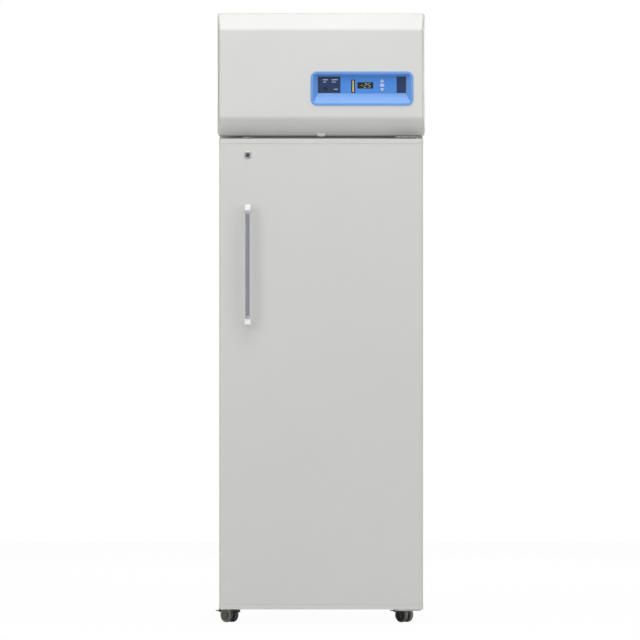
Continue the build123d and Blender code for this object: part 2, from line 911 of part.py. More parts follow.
def recess(shrink, front, back, wide, tall):
    """Block from front to back that narrows on all four sides to the overlay's flat."""
    x, z = panel_centre()
    window_x, window_z = window_centre()
    depth = panel_floor() - hood_front
    half_x, half_z = window_width / 2 - shrink, window_height / 2 - shrink
    mouth_x, mouth_z = wide / 2 - shrink, tall / 2 - shrink

    def slanted(middle, half, floor_middle, floor_half, plane, amount):
        rows = [(hood_front, middle, half), (hood_front + depth, floor_middle, floor_half)]
        (y0, m0, h0), (y1, m1, h1) = rows
        lean_low = ((m1 - h1) - (m0 - h0)) / (y1 - y0)
        lean_high = ((m1 + h1) - (m0 + h0)) / (y1 - y0)
        low = [m0 - h0 + lean_low * (y - y0) for y in (front, back)]
        high = [m0 + h0 + lean_high * (y - y0) for y in (front, back)]
        return extrude(plane * Polygon((low[0], front), (high[0], front), (high[1], back),
                                       (low[1], back), align=None), amount, both=True)

    from_above = slanted(x, mouth_x, window_x, half_x, Plane.XY, 2 * overall_height)
    across = Plane(origin=(x, 0, 0), x_dir=(0, 0, 1), z_dir=(-1, 0, 0))
    return from_above & slanted(z, mouth_z, window_z, half_z, across, panel_width)


def panel_floor():
    """Depth of the flat that carries the overlay."""
    return hood_front + panel_recess


def key_places():
    """Middle of each key, from the top one down."""
    window_x, window_z = window_centre()
    x, middle = window_x + key_right_of_middle, window_z - key_drop
    return [(x, middle + key_pitch * row) for row in (1, 0, -1)]


def key_shape(row, extra):
    """Triangle up, bevelled bar, triangle down."""
    if row == 1:
        bar = Rectangle(key_size + 2 * extra, key_size * 0.7 + 2 * extra)
        return chamfer(bar.vertices(), key_size * 0.2)
    turn = 0 if row == 0 else 180
    triangle = Polygon((-key_size / 2, -key_size * 0.4), (key_size / 2, -key_size * 0.4),
                       (0, key_size * 0.4), align=None)
    if extra:
        triangle = offset(triangle, extra, kind=Kind.INTERSECTION)
    return Rot(0, 0, turn) * triangle


def display_place():
    window_x, window_z = window_centre()
    return window_x + display_right_of_middle, window_z - display_drop


def panel_cutouts(front, depth):
    """Holes for the keys and the display, as solids."""
    holes = [to_back(front_sketch(key_shape(row, key_clearance), x, front, z), depth)
             for row, (x, z) in enumerate(key_places())]
    x, z = display_place()
    holes.append(to_back(front_sketch(Rectangle(display_width, display_height), x, front, z), depth))
    return holes


def board_range():
    """Left and right ends of the circuit board behind the keys and the display."""
    x, _ = display_place()
    key_x, _ = key_places()[0]
    return x - display_width / 2 - 8, key_x + 22


def panel_bezel():
    """Moulded tray with a raised rim; its recess slopes in to the overlay."""
    x, z = panel_centre()
    floor = panel_floor()
    rim_front = hood_front - panel_proud
    mouth = (panel_width - 2 * panel_rim, panel_height - 2 * panel_rim)
    corner = panel_corner - panel_rim
    rim = to_back(front_sketch(RectangleRounded(panel_width, panel_height, panel_corner),
                               x, rim_front, z), panel_proud)
    collar = to_back(front_sketch(RectangleRounded(mouth[0] - 0.4, mouth[1] - 0.4, corner - 0.2),
                                  x, hood_front, z), hood_wall)
    tray = recess(0, hood_front + hood_wall, floor + panel_wall, *mouth)
    hollow = to_back(front_sketch(RectangleRounded(mouth[0] - 2 * panel_wall,
                                                   mouth[1] - 2 * panel_wall, corner - panel_wall),
                                  x, rim_front, z), floor - rim_front)
    bezel = rim + collar + tray - (hollow & recess(panel_wall, rim_front, floor, *mouth))
    for hole in panel_cutouts(floor, panel_wall):
        bezel -= hole
    _, window_z = window_centre()
    pegs = [block((px - 3, px + 3),
                  (floor + panel_wall, floor + panel_wall + board_standoff),
                  (window_z + 21, window_z + 27)) for px in board_peg_places()]
    return bezel + pegs


def board_peg_places():
    left, right = board_range()
    return left + 5, right - 5


def panel_overlay():
    x, z = window_centre()
    front = panel_floor() - overlay_thickness
    size = (window_width - 2 * panel_wall - 0.6, window_height - 2 * panel_wall - 0.6)
    sheet = to_back(front_sketch(Rectangle(*size), x, front, z), overlay_thickness)
    for hole in panel_cutouts(front, overlay_thickness):
        sheet -= hole
    return sheet


def display_module():
    """Display behind its window, on the circuit board that also carries the key switches."""
    x, z = display_place()
    _, window_z = window_centre()
    front = panel_floor() - overlay_thickness
    board_front = panel_floor() + panel_wall + board_standoff
    display = to_back(front_sketch(Rectangle(display_width, display_height), x, front, z),
                      board_front - front)
    left, right = board_range()
    board = block((left, right), (board_front, board_front + board_thickness),
                  (window_z - window_height / 2 + 2, window_z + window_height / 2 - 2))
    return group(display, board)


def key(row):
    """A key cap through the overlay, held in by the skirt behind the bezel."""
    x, z = key_places()[row]
    front = panel_floor() - overlay_thickness - key_proud
    back = panel_floor() + panel_wall
    cap = to_back(front_sketch(key_shape(row, 0), x, front, z), back - front + key_clearance)
    size = key_size - 2 * key_clearance
    skirt = front_sketch(Rectangle(key_size + 4, size), x, back + key_clearance, z)
    return cap + to_back(skirt, key_skirt)


# Door

def door_outline(extra):
    """Plan of the door: square at the back, rounded at the two front corners."""
    half = half_width + extra
    front, back = door_front - extra, door_back
    plan = Pos(0, (front + back) / 2) * Rectangle(2 * half, back - front)
    corners = plan.vertices().sort_by(Axis.Y)[:2]
    return fillet(corners, door_corner + extra)


def door_skin():
    low, high = door_bottom + cap_height, door_top - cap_height
    wrap = door_outline(0) - door_outline(-door_sheet)
    half = half_width - door_sheet
    returns = [
        Pos(side * (half - skin_return / 2), door_back - door_sheet / 2)
        * Rectangle(skin_return, door_sheet)
        for side in (-1, 1)
    ]
    skin = extrude(Pos(0, 0, low) * (wrap + returns), high - low)
    return skin - rod((handle_x, door_front, lock_z), (handle_x, door_front + door_sheet, lock_z),
                      lock_barrel_radius)


def plug_block(extra, depth):
    """The raised part of the door's inner face that fills the chamber's mouth."""
    half = chamber_half - plug_gap - extra
    low, high = chamber_floor + plug_gap + extra, chamber_ceiling - plug_gap - extra
    plug = block((-half, half), (door_back - plug_wall, door_back + depth), (low, high))
    rim = plug.faces().sort_by(Axis.Y)[-1].edges()
    return chamfer(rim, 8)


def door_liner():
    """Inner face of the door: a flat flange with the hollow plug pressed into it."""
    half = half_width - door_sheet - skin_return
    low, high = door_bottom + cap_height, door_top - cap_height
    flange = block((-half, half), (door_back - plug_wall, door_back), (low, high))
    return flange + plug_block(0, plug_depth) - plug_block(plug_wall, plug_depth - plug_wall)


def lock_pocket():
    """Space behind the skin for the lock's crank and bolt."""
    half = lock_pocket_width / 2
    return block((handle_x - half, handle_x + half), (door_front, door_front + lock_pocket_depth),
                 (lock_z - lock_pocket_drop, door_top - cap_height))


def door_foam():
    low, high = door_bottom + cap_height, door_top - cap_height
    core = extrude(Pos(0, 0, low) * door_outline(-door_sheet), high - low)
    core -= block((-half_width, half_width), (door_back - plug_wall, door_back), (low, high))
    plug = plug_block(plug_wall, plug_depth - plug_wall)
    return core + plug - lock_pocket()


def door_end_caps():
    """Moulded caps that close the door's top and bottom, bored for the hinge pins."""
    cap = extrude(door_outline(cap_proud), cap_height)
    cap -= extrude(Pos(pin_x, pin_y) * Circle(pin_radius + pin_clearance), cap_height)
    bottom = Pos(0, 0, door_bottom) * cap
    top = Pos(0, 0, door_top - cap_height) * cap
    size = (bolt_width + 2 * bolt_clearance, bolt_thickness + 2 * bolt_clearance)
    slot = Pos(handle_x, bolt_front() + bolt_thickness / 2, door_top - cap_height)
    return group(bottom, top - slot * extrude(Rectangle(*size), cap_height))


def door_gasket():
    """Magnetic seal: a bellows frame between the door liner and the cabinet's steel flange."""
    def ring(widen, y0, y1):
        outer_x, outer_low = flange_half + gasket_width, flange_low - gasket_width
        outer_high = flange_high + gasket_width
        outer = block((-outer_x - widen, outer_x + widen), (y0, y1),
                      (outer_low - widen, outer_high + widen))
        return outer - block((-flange_half + widen, flange_half - widen), (y0, y1),
                             (flange_low + widen, flange_high - widen))

    front, back = door_back, cabinet_front - gasket_clearance
    third = (back - front) / 3
    return ring(0, front, front + third) + ring(-3, front + third, back - third) \
        + ring(0, back - third, back)


def hinge_bracket(plate_low, leg_low, leg_high, pin_low, pin_high):
    """Angle bracket on the cabinet's face: leg behind the door, plate over its end, pin."""
    right = half_width - 6
    left = right - bracket_width
    nose = pin_y - 14
    plate = block((left, right), (nose, cabinet_front), (plate_low, plate_low + bracket_thickness))
    corners = plate.edges().filter_by(Axis.Z).sort_by(Axis.Y)[:2]
    plate = chamfer(corners, 12)
    leg = block((left, right), (cabinet_front - bracket_leg, cabinet_front), (leg_low, leg_high))
    return plate + leg + rod((pin_x, pin_y, pin_low), (pin_x, pin_y, pin_high), pin_radius)


def hinge_brackets():
    """Top and bottom door hinges with their pins."""
    reach = cap_height - 3
    top_plate = door_top + top_bracket_gap
    top = hinge_bracket(top_plate, door_top - 16, body_top, door_top - reach,
                        top_plate + bracket_thickness)
    bottom_plate = door_bottom - bottom_bracket_gap - bracket_thickness
    bottom = hinge_bracket(bottom_plate, bottom_plate, flange_low - gasket_width - 2,
                           bottom_plate, door_bottom + reach)
    return group(top, bottom)


# Handle and lock

def handle_bar():
    """Extruded bar with a groove for the dark inlay, its ends in the posts' sockets."""
    front = door_front - handle_projection
    length = handle_spacing - post_size + 2 * bar_socket
    plan = Pos(handle_x, front + bar_thickness / 2 + 1) * Rectangle(bar_width, bar_thickness)
    plan = chamfer(plan.vertices(), bar_bevel)
    low = handle_centre_height - length / 2
    bar = extrude(Pos(0, 0, low) * plan, length)
    return bar - inlay_block(front + 1, inlay_depth)


def inlay_block(front, depth):
    length = handle_spacing - post_size - 2 * inlay_end_gap
    return block((handle_x - inlay_width / 2, handle_x + inlay_width / 2), (front, front + depth),
                 (handle_centre_height - length / 2, handle_centre_height + length / 2))


def handle_inlay():
    front = door_front - handle_projection + 1 - inlay_proud
    return inlay_block(front, inlay_depth + inlay_proud)


def handle_posts():
    """End brackets that carry the bar off the door."""
    front = door_front - handle_projection
    half = post_size / 2
    post = block((handle_x - half, handle_x + half), (front, door_front), (-half, half))
    post = chamfer(post.faces().sort_by(Axis.Y)[0].edges(), post_bevel)
    bar = handle_bar()
    return [
        Pos(0, 0, handle_centre_height + side * handle_spacing / 2) * post - bar
        for side in (-1, 1)
    ]


def bolt_front():
    """Front face of the lock bolt, just behind the crank."""
    return door_front + lock_barrel_length + crank_thickness + 1


def lock_housing():
    """Barrel through the door's skin with a round bezel in front."""
    centre = (handle_x, lock_z)
    bezel = front_sketch(Circle(lock_bezel_radius), centre[0], door_front - lock_bezel_proud, centre[1])
    bezel = to_back(bezel, lock_bezel_proud)
    barrel = to_back(front_sketch(Circle(lock_barrel_radius), centre[0], door_front, centre[1]),
                     lock_barrel_length)
    bore = to_back(front_sketch(Circle(cylinder_radius + cylinder_clearance), centre[0],
                                door_front - lock_bezel_proud, centre[1]),
                   lock_barrel_length + lock_bezel_proud)
    return bezel + barrel - bore


def door_fittings():
    """What is screwed to the door: both handle posts and the lock housing."""
    return group(*handle_posts(), lock_housing())


def lock_cylinder():
    """Keyed cylinder with the crank arm and pin that lift the bolt."""
    front = door_front - lock_bezel_proud - 1
    back = door_front + lock_barrel_length
    plug = to_back(front_sketch(Circle(cylinder_radius), handle_x, front, lock_z), back + 0.2 - front)
    keyway = to_back(front_sketch(Rectangle(keyway_width, keyway_height), handle_x, front, lock_z), 6)
    turned = Rot(0, 0, -45)
    arm = turned * Pos(crank_radius / 2, 0) * Rectangle(crank_radius + crank_width, crank_width)
    arm = to_back(front_sketch(arm, handle_x, back + 0.2, lock_z), crank_thickness)
    pin = front_sketch(turned * Pos(crank_radius, 0) * Circle(crank_pin_radius),
                       handle_x, back + crank_thickness, lock_z)
    return plug - keyway + arm + to_back(pin, crank_pin_length)


def lock_bolt():
    """Flat bolt that rises out of the door's top, driven by the crank pin in its cross slot."""
    front = bolt_front()
    step = crank_radius * math.sin(math.radians(45))
    slot_z = lock_z - step
    top = door_top - 1
    half = bolt_width / 2
    bar = block((handle_x - half, handle_x + half), (front, front + bolt_thickness), (slot_z, top))
    yoke = block((handle_x - yoke_width / 2, handle_x + yoke_width / 2),
                 (front, front + bolt_thickness),
                 (slot_z - yoke_height / 2, slot_z + yoke_height / 2))
    reach = crank_pin_radius + crank_pin_clearance
    slot = block((handle_x + step - reach, handle_x + crank_radius + reach),
                 (front, front + bolt_thickness), (slot_z - reach, slot_z + reach))
    return bar + yoke - slot


def lock_keeper():
    """Plate over the door's top with the hole that the bolt rises into."""
    middle = bolt_front() + bolt_thickness / 2
    low = door_top + top_bracket_gap
    half = keeper_width / 2
    plate = block((handle_x - half, handle_x + half), (middle - 14, cabinet_front),
                  (low, low + keeper_thickness))
    leg = block((handle_x - half, handle_x + half),
                (cabinet_front - keeper_thickness, cabinet_front), (door_top - 16, low))
    size = (bolt_width + 2, bolt_thickness + 2)
    hole = extrude(Pos(handle_x, middle, low) * Rectangle(*size), keeper_thickness)
    return plate + leg - hole


# Casters

def caster_places():
    """Pivot of each front caster on the floor plan, by name."""
    x, y = half_width - caster_side_inset, cabinet_front + caster_front_inset
    return {"left": (-x, y), "right": (x, y)}


def place_caster(side, shape):
    """Turns a caster part, drawn trailing to the back, to its resting direction and place."""
    x, y = caster_places()[side]
    return Pos(x, y, 0) * Rot(0, 0, caster_turn) * shape


def fork_top():
    return caster_height - caster_plate_thickness - fork_gap


def caster_plates():
    """Top plates bolted under the base frame, each with its kingpin."""
    half = caster_plate_size / 2
    low = caster_height - caster_plate_thickness
    plate = block((-half, half), (-half, half), (low, caster_height))
    pin = rod((0, 0, low - kingpin_length), (0, 0, low), kingpin_radius)
    return group(*[Pos(x, y, 0) * (plate + pin) for x, y in caster_places().values()])



def caster_fork(side):
    """Swivelling body: head round the kingpin, web between the wheels, fender over them."""
    top = fork_top()
    half_track = fork_web / 2 + wheel_gap + wheel_width
    reach = wheel_radius + fender_gap
    back = wheel_trail + reach
    head_front = -kingpin_radius - 7
    fender_low = wheel_radius + fender_drop
    crown = wheel_radius + reach
    fender = Polygon((head_front, top), (wheel_trail + 8, top), (back + fender_wall, crown - 10),
                     (back + fender_wall, fender_low), (back, fender_low), (back, crown - 11),
                     (wheel_trail + 11, crown), (wheel_trail - 11, crown),
                     (head_front, crown - 6), align=None)
    fender = extrude(Plane.YZ * fender, half_track, both=True)
    web = Polygon((head_front, crown - 4), (wheel_trail + 12, crown + 1), (back + 1, crown - 12),
                  (wheel_trail + 9, wheel_radius - 9), (wheel_trail - 9, wheel_radius - 9),
                  align=None)
    web = extrude(Plane.YZ * web, fork_web / 2, both=True)
    body = fender + web - pedal_block(back, back + fender_wall, pedal_clearance)
    body -= rod((0, 0, top - kingpin_length), (0, 0, top), kingpin_radius + kingpin_clearance)
    body -= rod((-fork_web, wheel_trail, wheel_radius), (fork_web, wheel_trail, wheel_radius),
                axle_radius + axle_clearance)
    return place_caster(side, body)


def caster_wheels(side):
    """Two wheels on their common axle."""
    near = fork_web / 2 + wheel_gap
    far = near + wheel_width
    wheel = rod((near, wheel_trail, wheel_radius), (far, wheel_trail, wheel_radius), wheel_radius)
    axle = rod((-near, wheel_trail, wheel_radius), (near, wheel_trail, wheel_radius), axle_radius)
    return group(*[place_caster(side, piece) for piece in (axle, *mirrored_pair(wheel))])


def pedal_block(near, far, extra):
    """The brake pedal's bar between two depths, grown by extra."""
    half = pedal_width / 2 + extra
    return block((-half, half), (near, far),
                 (pedal_height - pedal_thickness - extra, pedal_height + extra))


def caster_pedal(side):
    """Brake pedal that rocks in the window of the fender's back."""
    near = wheel_trail + wheel_radius + fender_gap
    return place_caster(side, pedal_block(near, near + fender_wall + pedal_length, 0))


def rear_wheel_places():
    """Inner and outer end of the right rear wheel, and the axle's depth."""
    outer = half_width - caster_side_inset + wheel_width
    return outer - 2 * wheel_width, outer, cabinet_back - rear_axle_inset


def rear_wheels():
    """Fixed rear wheels on one through axle."""
    near, far, y = rear_wheel_places()
    wheel = rod((near, y, wheel_radius), (far, y, wheel_radius), wheel_radius)
    axle = rod((-near, y, wheel_radius), (near, y, wheel_radius), axle_radius)
    return group(axle, *mirrored_pair(wheel))


def rear_axle_brackets():
    """Cheeks under the base frame, inside each rear wheel, that carry the axle."""
    near, _, y = rear_wheel_places()
    half = rear_cheek_width / 2
    cheek = Polygon((y - half, caster_height), (y + half, caster_height),
                    (y + axle_radius + 5, wheel_radius - axle_radius - 5),
                    (y - axle_radius - 5, wheel_radius - axle_radius - 5), align=None)
    outer = near - wheel_gap
    side_plane = Plane(origin=(outer, 0, 0), x_dir=(0, 1, 0), z_dir=(1, 0, 0))
    cheek = extrude(side_plane * cheek, amount=rear_cheek, dir=(-1, 0, 0))
    cheek -= rod((outer - rear_cheek, y, wheel_radius), (outer, y, wheel_radius),
                 axle_radius + axle_clearance)
    flange = block((outer - 30, outer), (y - half, y + half), (caster_height - 3, caster_height))
    return group(*mirrored_pair(cheek + flange))


def build_parts():
    """Every node by name."""
    parts = {
        "cabinet_shell": cabinet_shell(),
        "cabinet_foam": cabinet_foam(),
        "cabinet_liner": cabinet_liner(),
        "breaker_frame": breaker_frame(),
        "base_frame": base_frame(),
        "rear_bumpers": rear_bumpers(),
        "shelf_standards": shelf_standards(),
        "shelf_clips": shelf_clips(),
        "evaporator_cover": evaporator_cover(),
        "evaporator_coil": evaporator_coil(),
        "evaporator_fan": evaporator_fan(),
        "fan_motors": fan_motors(),
        "condenser_coil": condenser_coil(),
        "condenser_shroud": condenser_shroud(),
        "condenser_fan": condenser_fan(),
        "air_filter": air_filter(),
        "compressor": compressor(),
        "compressor_grommets": compressor_grommets(),
        "refrigerant_lines": refrigerant_lines(),
        "control_box": control_box(),
        "machine_side_panels": machine_side_panels(),
        "rear_grille": rear_grille(),
        "power_inlet": power_inlet(),
        "hood_hinge": hood_hinge(),
        "hood_panel": hood_panel(),
        "panel_bezel": panel_bezel(),
        "panel_overlay": panel_overlay(),
        "display_module": display_module(),
        "up_key": key(0),
        "enter_key": key(1),
        "down_key": key(2),
        "door_skin": door_skin(),
        "door_liner": door_liner(),
        "door_foam": door_foam(),
        "door_end_caps": door_end_caps(),
        "door_gasket": door_gasket(),
        "hinge_brackets": hinge_brackets(),
        "handle_bar": handle_bar(),
        "handle_inlay": handle_inlay(),
        "door_fittings": door_fittings(),
        "lock_cylinder": lock_cylinder(),
        "lock_bolt": lock_bolt(),
        "lock_keeper": lock_keeper(),
        "caster_plates": caster_plates(),
        "rear_axle_brackets": rear_axle_brackets(),
        "rear_wheels": rear_wheels(),
    }
    for index in range(1, shelf_count + 1):
        parts[f"shelf_{index}"] = shelf(index)
    for side in caster_places():
        parts[f"{side}_caster_fork"] = caster_fork(side)
        parts[f"{side}_caster_wheels"] = caster_wheels(side)
        parts[f"{side}_brake_pedal"] = caster_pedal(side)
    return parts


os.makedirs("parts", exist_ok=True)
for node, shape in build_parts().items():
    export_step(shape, f"parts/{node}.step")
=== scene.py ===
import bpy
import bmesh
import math
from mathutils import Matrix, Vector


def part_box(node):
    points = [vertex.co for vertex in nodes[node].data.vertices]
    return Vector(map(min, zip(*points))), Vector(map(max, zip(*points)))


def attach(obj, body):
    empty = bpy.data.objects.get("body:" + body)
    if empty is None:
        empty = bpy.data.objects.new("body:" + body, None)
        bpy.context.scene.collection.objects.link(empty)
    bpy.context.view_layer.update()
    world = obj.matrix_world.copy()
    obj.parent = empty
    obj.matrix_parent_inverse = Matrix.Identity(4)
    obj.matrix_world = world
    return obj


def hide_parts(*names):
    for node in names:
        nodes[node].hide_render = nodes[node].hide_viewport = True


# Upright laboratory freezer, dressed over its CAD frame. Metres, +Z up, door towards -Y.

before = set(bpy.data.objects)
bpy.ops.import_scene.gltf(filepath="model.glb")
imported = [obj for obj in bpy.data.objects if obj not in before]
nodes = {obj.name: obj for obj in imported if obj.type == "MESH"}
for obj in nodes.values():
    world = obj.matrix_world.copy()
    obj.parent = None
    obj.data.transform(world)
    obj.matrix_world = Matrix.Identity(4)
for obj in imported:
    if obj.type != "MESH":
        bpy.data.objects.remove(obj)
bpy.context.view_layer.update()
print("frame loaded,", len(nodes), "nodes")


# shader writing: a socket that takes part in Python sums, and a material that adds its nodes

class Wire:
    def __init__(self, paint, socket):
        self.paint = paint
        self.socket = socket

    def calc(self, operation, *values):
        return self.paint.add("ShaderNodeMath", {"operation": operation}, dict(enumerate(values)))

    def __add__(self, other):
        return self.calc("ADD", self, other)

    def __radd__(self, other):
        return self.calc("ADD", other, self)

    def __sub__(self, other):
        return self.calc("SUBTRACT", self, other)

    def __rsub__(self, other):
        return self.calc("SUBTRACT", other, self)

    def __mul__(self, other):
        return self.calc("MULTIPLY", self, other)

    def __rmul__(self, other):
        return self.calc("MULTIPLY", other, self)

    def __gt__(self, other):
        return self.calc("GREATER_THAN", self, other)

    def __lt__(self, other):
        return self.calc("LESS_THAN", self, other)


class Paint:
    def __init__(self, name):
        self.material = bpy.data.materials.new(name)
        self.material.use_nodes = True
        self.tree = self.material.node_tree
        self.tree.nodes.clear()

    def add(self, kind, settings=None, sockets=None, output=0):
        node = self.tree.nodes.new(kind)
        for key, value in (settings or {}).items():
            if key == "stops":
                ramp = node.color_ramp.elements
                while len(ramp) < len(value):
                    ramp.new(0.5)
                for stop, (place, colour) in zip(ramp, value):
                    stop.position = place
                    stop.color = (*colour, 1)
            else:
                setattr(node, key, value)
        for key, value in (sockets or {}).items():
            if isinstance(value, Wire):
                self.tree.links.new(value.socket, node.inputs[key])
            else:
                node.inputs[key].default_value = value
        return Wire(self, node.outputs[output]) if len(node.outputs) else None

    def place(self, stretch=(1, 1, 1)):
        spot = self.add("ShaderNodeTexCoord", output=3)
        if stretch == (1, 1, 1):
            return spot
        return self.add("ShaderNodeVectorMath", {"operation": "MULTIPLY"}, {0: spot, 1: stretch})

    def axis(self, letter):
        return self.add("ShaderNodeSeparateXYZ", None, {0: self.place()}, "XYZ".index(letter))

    def noise(self, scale, detail=3.0, stretch=(1, 1, 1)):
        return self.add("ShaderNodeTexNoise", None,
                        {"Vector": self.place(stretch), "Scale": scale, "Detail": detail})

    def mix(self, amount, low, high):
        def colour(value):
            return value if isinstance(value, Wire) else (*value, 1)
        return self.add("ShaderNodeMix", {"data_type": "RGBA"},
                        {0: amount, 6: colour(low), 7: colour(high)}, 2)

    def bump(self, height, strength, distance, edge=0.0012):
        soft = self.add("ShaderNodeBevel", {"samples": 4}, {"Radius": edge})
        return self.add("ShaderNodeBump", None, {"Height": height, "Strength": strength,
                                                 "Distance": distance, "Normal": soft})

    def finish(self, colour, roughness, metallic=0.0, normal=None, **more):
        sockets = {"Base Color": colour if isinstance(colour, Wire) else (*colour, 1),
                   "Roughness": roughness, "Metallic": metallic}
        if normal:
            sockets["Normal"] = normal
        sockets.update({key.replace("_", " "): value for key, value in more.items()})
        surface = self.add("ShaderNodeBsdfPrincipled", None, sockets)
        self.add("ShaderNodeOutputMaterial", None, {"Surface": surface})
        return self.material


def shade(colour, factor):
    return tuple(min(1.0, part * factor) for part in colour)


# camera, floor and light

view = {
    "lens": 345.3,           # mm, the photograph is taken from far away
    "back": 20.0,            # m in front of the door
    "height": 0.992,
    "across": -0.0037,
}


def setCamera():
    lens = bpy.data.cameras.new("camera")
    lens.lens = view["lens"]
    lens.sensor_width = 36.0
    lens.clip_end = 100.0
    eye = bpy.data.objects.new("camera", lens)
    bpy.context.scene.collection.objects.link(eye)
    eye.location = (view["across"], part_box("door_skin")[0].y - view["back"], view["height"])
    eye.rotation_euler = (math.radians(90), 0, 0)
    bpy.context.scene.camera = eye


studio = {
    "floorSize": 14.0,
    "floorColour": (0.88, 0.88, 0.88),
    "floorWhite": 0.97,      # share of plain white that the camera sees on the floor
    "ambient": 0.36,
    "lamps": [               # name, place, size, watts
        ("overhead", (0.0, -1.8, 4.6), 3.2, 100),
        ("leftFill", (-3.6, -4.4, 2.8), 2.6, 75),
        ("rightFill", (3.8, -4.2, 2.4), 2.6, 55),
        ("backFill", (0.6, 4.6, 2.8), 3.0, 90),
    ],
}


def setStudio():
    mesh = bpy.data.meshes.new("floor")
    half = studio["floorSize"] / 2
    mesh.from_pydata([(-half, -half, 0), (half, -half, 0), (half, half, 0), (-half, half, 0)],
                     [], [(0, 1, 2, 3)])
    floor = bpy.data.objects.new("floor", mesh)
    bpy.context.scene.collection.objects.link(floor)
    paint = Paint("floorPale")
    grey = paint.add("ShaderNodeBsdfDiffuse", None, {"Color": (*studio["floorColour"], 1)})
    white = paint.add("ShaderNodeEmission", None, {"Color": (1, 1, 1, 1), "Strength": 1.0})
    seen = paint.add("ShaderNodeLightPath") * studio["floorWhite"]
    both = paint.add("ShaderNodeMixShader", None, {0: seen, 1: grey, 2: white})
    paint.add("ShaderNodeOutputMaterial", None, {"Surface": both})
    mesh.materials.append(paint.material)

    world = bpy.data.worlds.new("studio")
    bpy.context.scene.world = world
    world.use_nodes = True
    links = world.node_tree.links
    parts = world.node_tree.nodes
    parts.clear()
    path = parts.new("ShaderNodeLightPath")
    gloss = parts.new("ShaderNodeMath")
    gloss.operation = "MAXIMUM"
    links.new(path.outputs["Is Camera Ray"], gloss.inputs[0])
    links.new(path.outputs["Is Transmission Ray"], gloss.inputs[1])
    strength = parts.new("ShaderNodeMapRange")
    strength.inputs["To Min"].default_value = studio["ambient"]
    strength.inputs["To Max"].default_value = 1.0
    links.new(gloss.outputs[0], strength.inputs["Value"])
    sky = parts.new("ShaderNodeBackground")
    sky.inputs["Color"].default_value = (1, 1, 1, 1)
    links.new(strength.outputs["Result"], sky.inputs["Strength"])
    links.new(sky.outputs[0], parts.new("ShaderNodeOutputWorld").inputs["Surface"])

    for name, spot, size, watts in studio["lamps"]:
        lamp = bpy.data.lights.new(name, "AREA")
        lamp.size = size
        lamp.energy = watts
        holder = bpy.data.objects.new(name, lamp)
        bpy.context.scene.collection.objects.link(holder)
        holder.location = spot
        aim = Vector((0, 0, 1.0)) - holder.location
        holder.rotation_euler = aim.to_track_quat("-Z", "Y").to_euler()


bpy.context.scene.view_settings.view_transform = "Standard"
setCamera()
setStudio()
print("camera and studio set")


# finishes

enamel = {
    "colour": (0.600, 0.600, 0.588),
    "roughness": 0.34,
    "peel": 0.05,            # depth of the orange peel, 0 to 1
    "dust": 0.05,            # darker towards the floor
}


def enamelPaint(name, tint=1.0):
    paint = Paint(name)
    cloud = paint.noise(2.2, 4)
    low = 1 - paint.add("ShaderNodeMapRange", None,
                        {"Value": paint.axis("Z"), "From Min": 0.0, "From Max": 0.9})
    colour = shade(enamel["colour"], tint)
    body = paint.mix(cloud, shade(colour, 0.975), shade(colour, 1.02))
    body = paint.mix(low * low * enamel["dust"], body, (0.42, 0.40, 0.36))
    peel = paint.noise(420, 2)
    rough = paint.noise(9, 3) * 0.10 + (enamel["roughness"] - 0.05)
    return paint.finish(body, rough, normal=paint.bump(peel, enamel["peel"], 0.0006),
                        Coat_Weight=0.15, Coat_Roughness=0.12)


def mouldedPlastic(name, colour, roughness=0.42, grain=0.12):
    paint = Paint(name)
    cloud = paint.noise(5, 3)
    body = paint.mix(cloud, shade(colour, 0.96), shade(colour, 1.03))
    rough = paint.noise(30, 3) * 0.12 + (roughness - 0.06)
    return paint.finish(body, rough, normal=paint.bump(paint.noise(1600, 2), grain, 0.0004))


def brushedMetal(name, colour, roughness=0.30, along=(1, 1, 0.02), depth=0.12):
    paint = Paint(name)
    lines = paint.noise(900, 3, along)
    body = paint.mix(lines, shade(colour, 0.90), shade(colour, 1.06))
    rough = lines * 0.18 + (roughness - 0.09)
    return paint.finish(body, rough, 1.0, paint.bump(lines, depth, 0.0004))


def platedMetal(name, colour, roughness=0.2):
    paint = Paint(name)
    haze = paint.noise(60, 4)
    body = paint.mix(haze, shade(colour, 0.92), shade(colour, 1.04))
    return paint.finish(body, haze * 0.14 + (roughness - 0.05), 1.0,
                        paint.bump(paint.noise(700, 2), 0.04, 0.0003))


def galvanisedSheet(name, colour=(0.50, 0.51, 0.53)):
    paint = Paint(name)
    spangle = paint.add("ShaderNodeTexVoronoi", None,
                        {"Vector": paint.place(), "Scale": 95.0}, 1)
    grey = paint.add("ShaderNodeRGBToBW", None, {0: spangle})
    body = paint.mix(grey, shade(colour, 0.86), shade(colour, 1.10))
    return paint.finish(body, grey * 0.20 + 0.32, 0.9, paint.bump(paint.noise(300, 2), 0.05, 0.0004))


def powderCoat(name, colour):
    paint = Paint(name)
    grit = paint.noise(1300, 2)
    body = paint.mix(paint.noise(14, 3), shade(colour, 0.85), shade(colour, 1.2))
    return paint.finish(body, 0.55, normal=paint.bump(grit, 0.35, 0.0005))


def rubber(name, colour, roughness=0.75):
    paint = Paint(name)
    bloom = paint.noise(22, 5)
    body = paint.mix(bloom, shade(colour, 0.8), shade(colour, 1.35))
    return paint.finish(body, bloom * 0.16 + (roughness - 0.08),
                        normal=paint.bump(paint.noise(900, 3), 0.22, 0.0005))


def copperTube(name):
    paint = Paint(name)
    stain = paint.noise(38, 5)
    body = paint.mix(stain, (0.34, 0.13, 0.07), (0.78, 0.40, 0.26))
    return paint.finish(body, stain * -0.25 + 0.46, 1.0)


def foamCore(name):
    paint = Paint(name)
    cells = paint.add("ShaderNodeTexVoronoi", None, {"Vector": paint.place(), "Scale": 700.0})
    body = paint.mix(paint.noise(12, 4), (0.66, 0.52, 0.28), (0.80, 0.70, 0.45))
    return paint.finish(body, 0.9, normal=paint.bump(cells, 0.5, 0.0008))


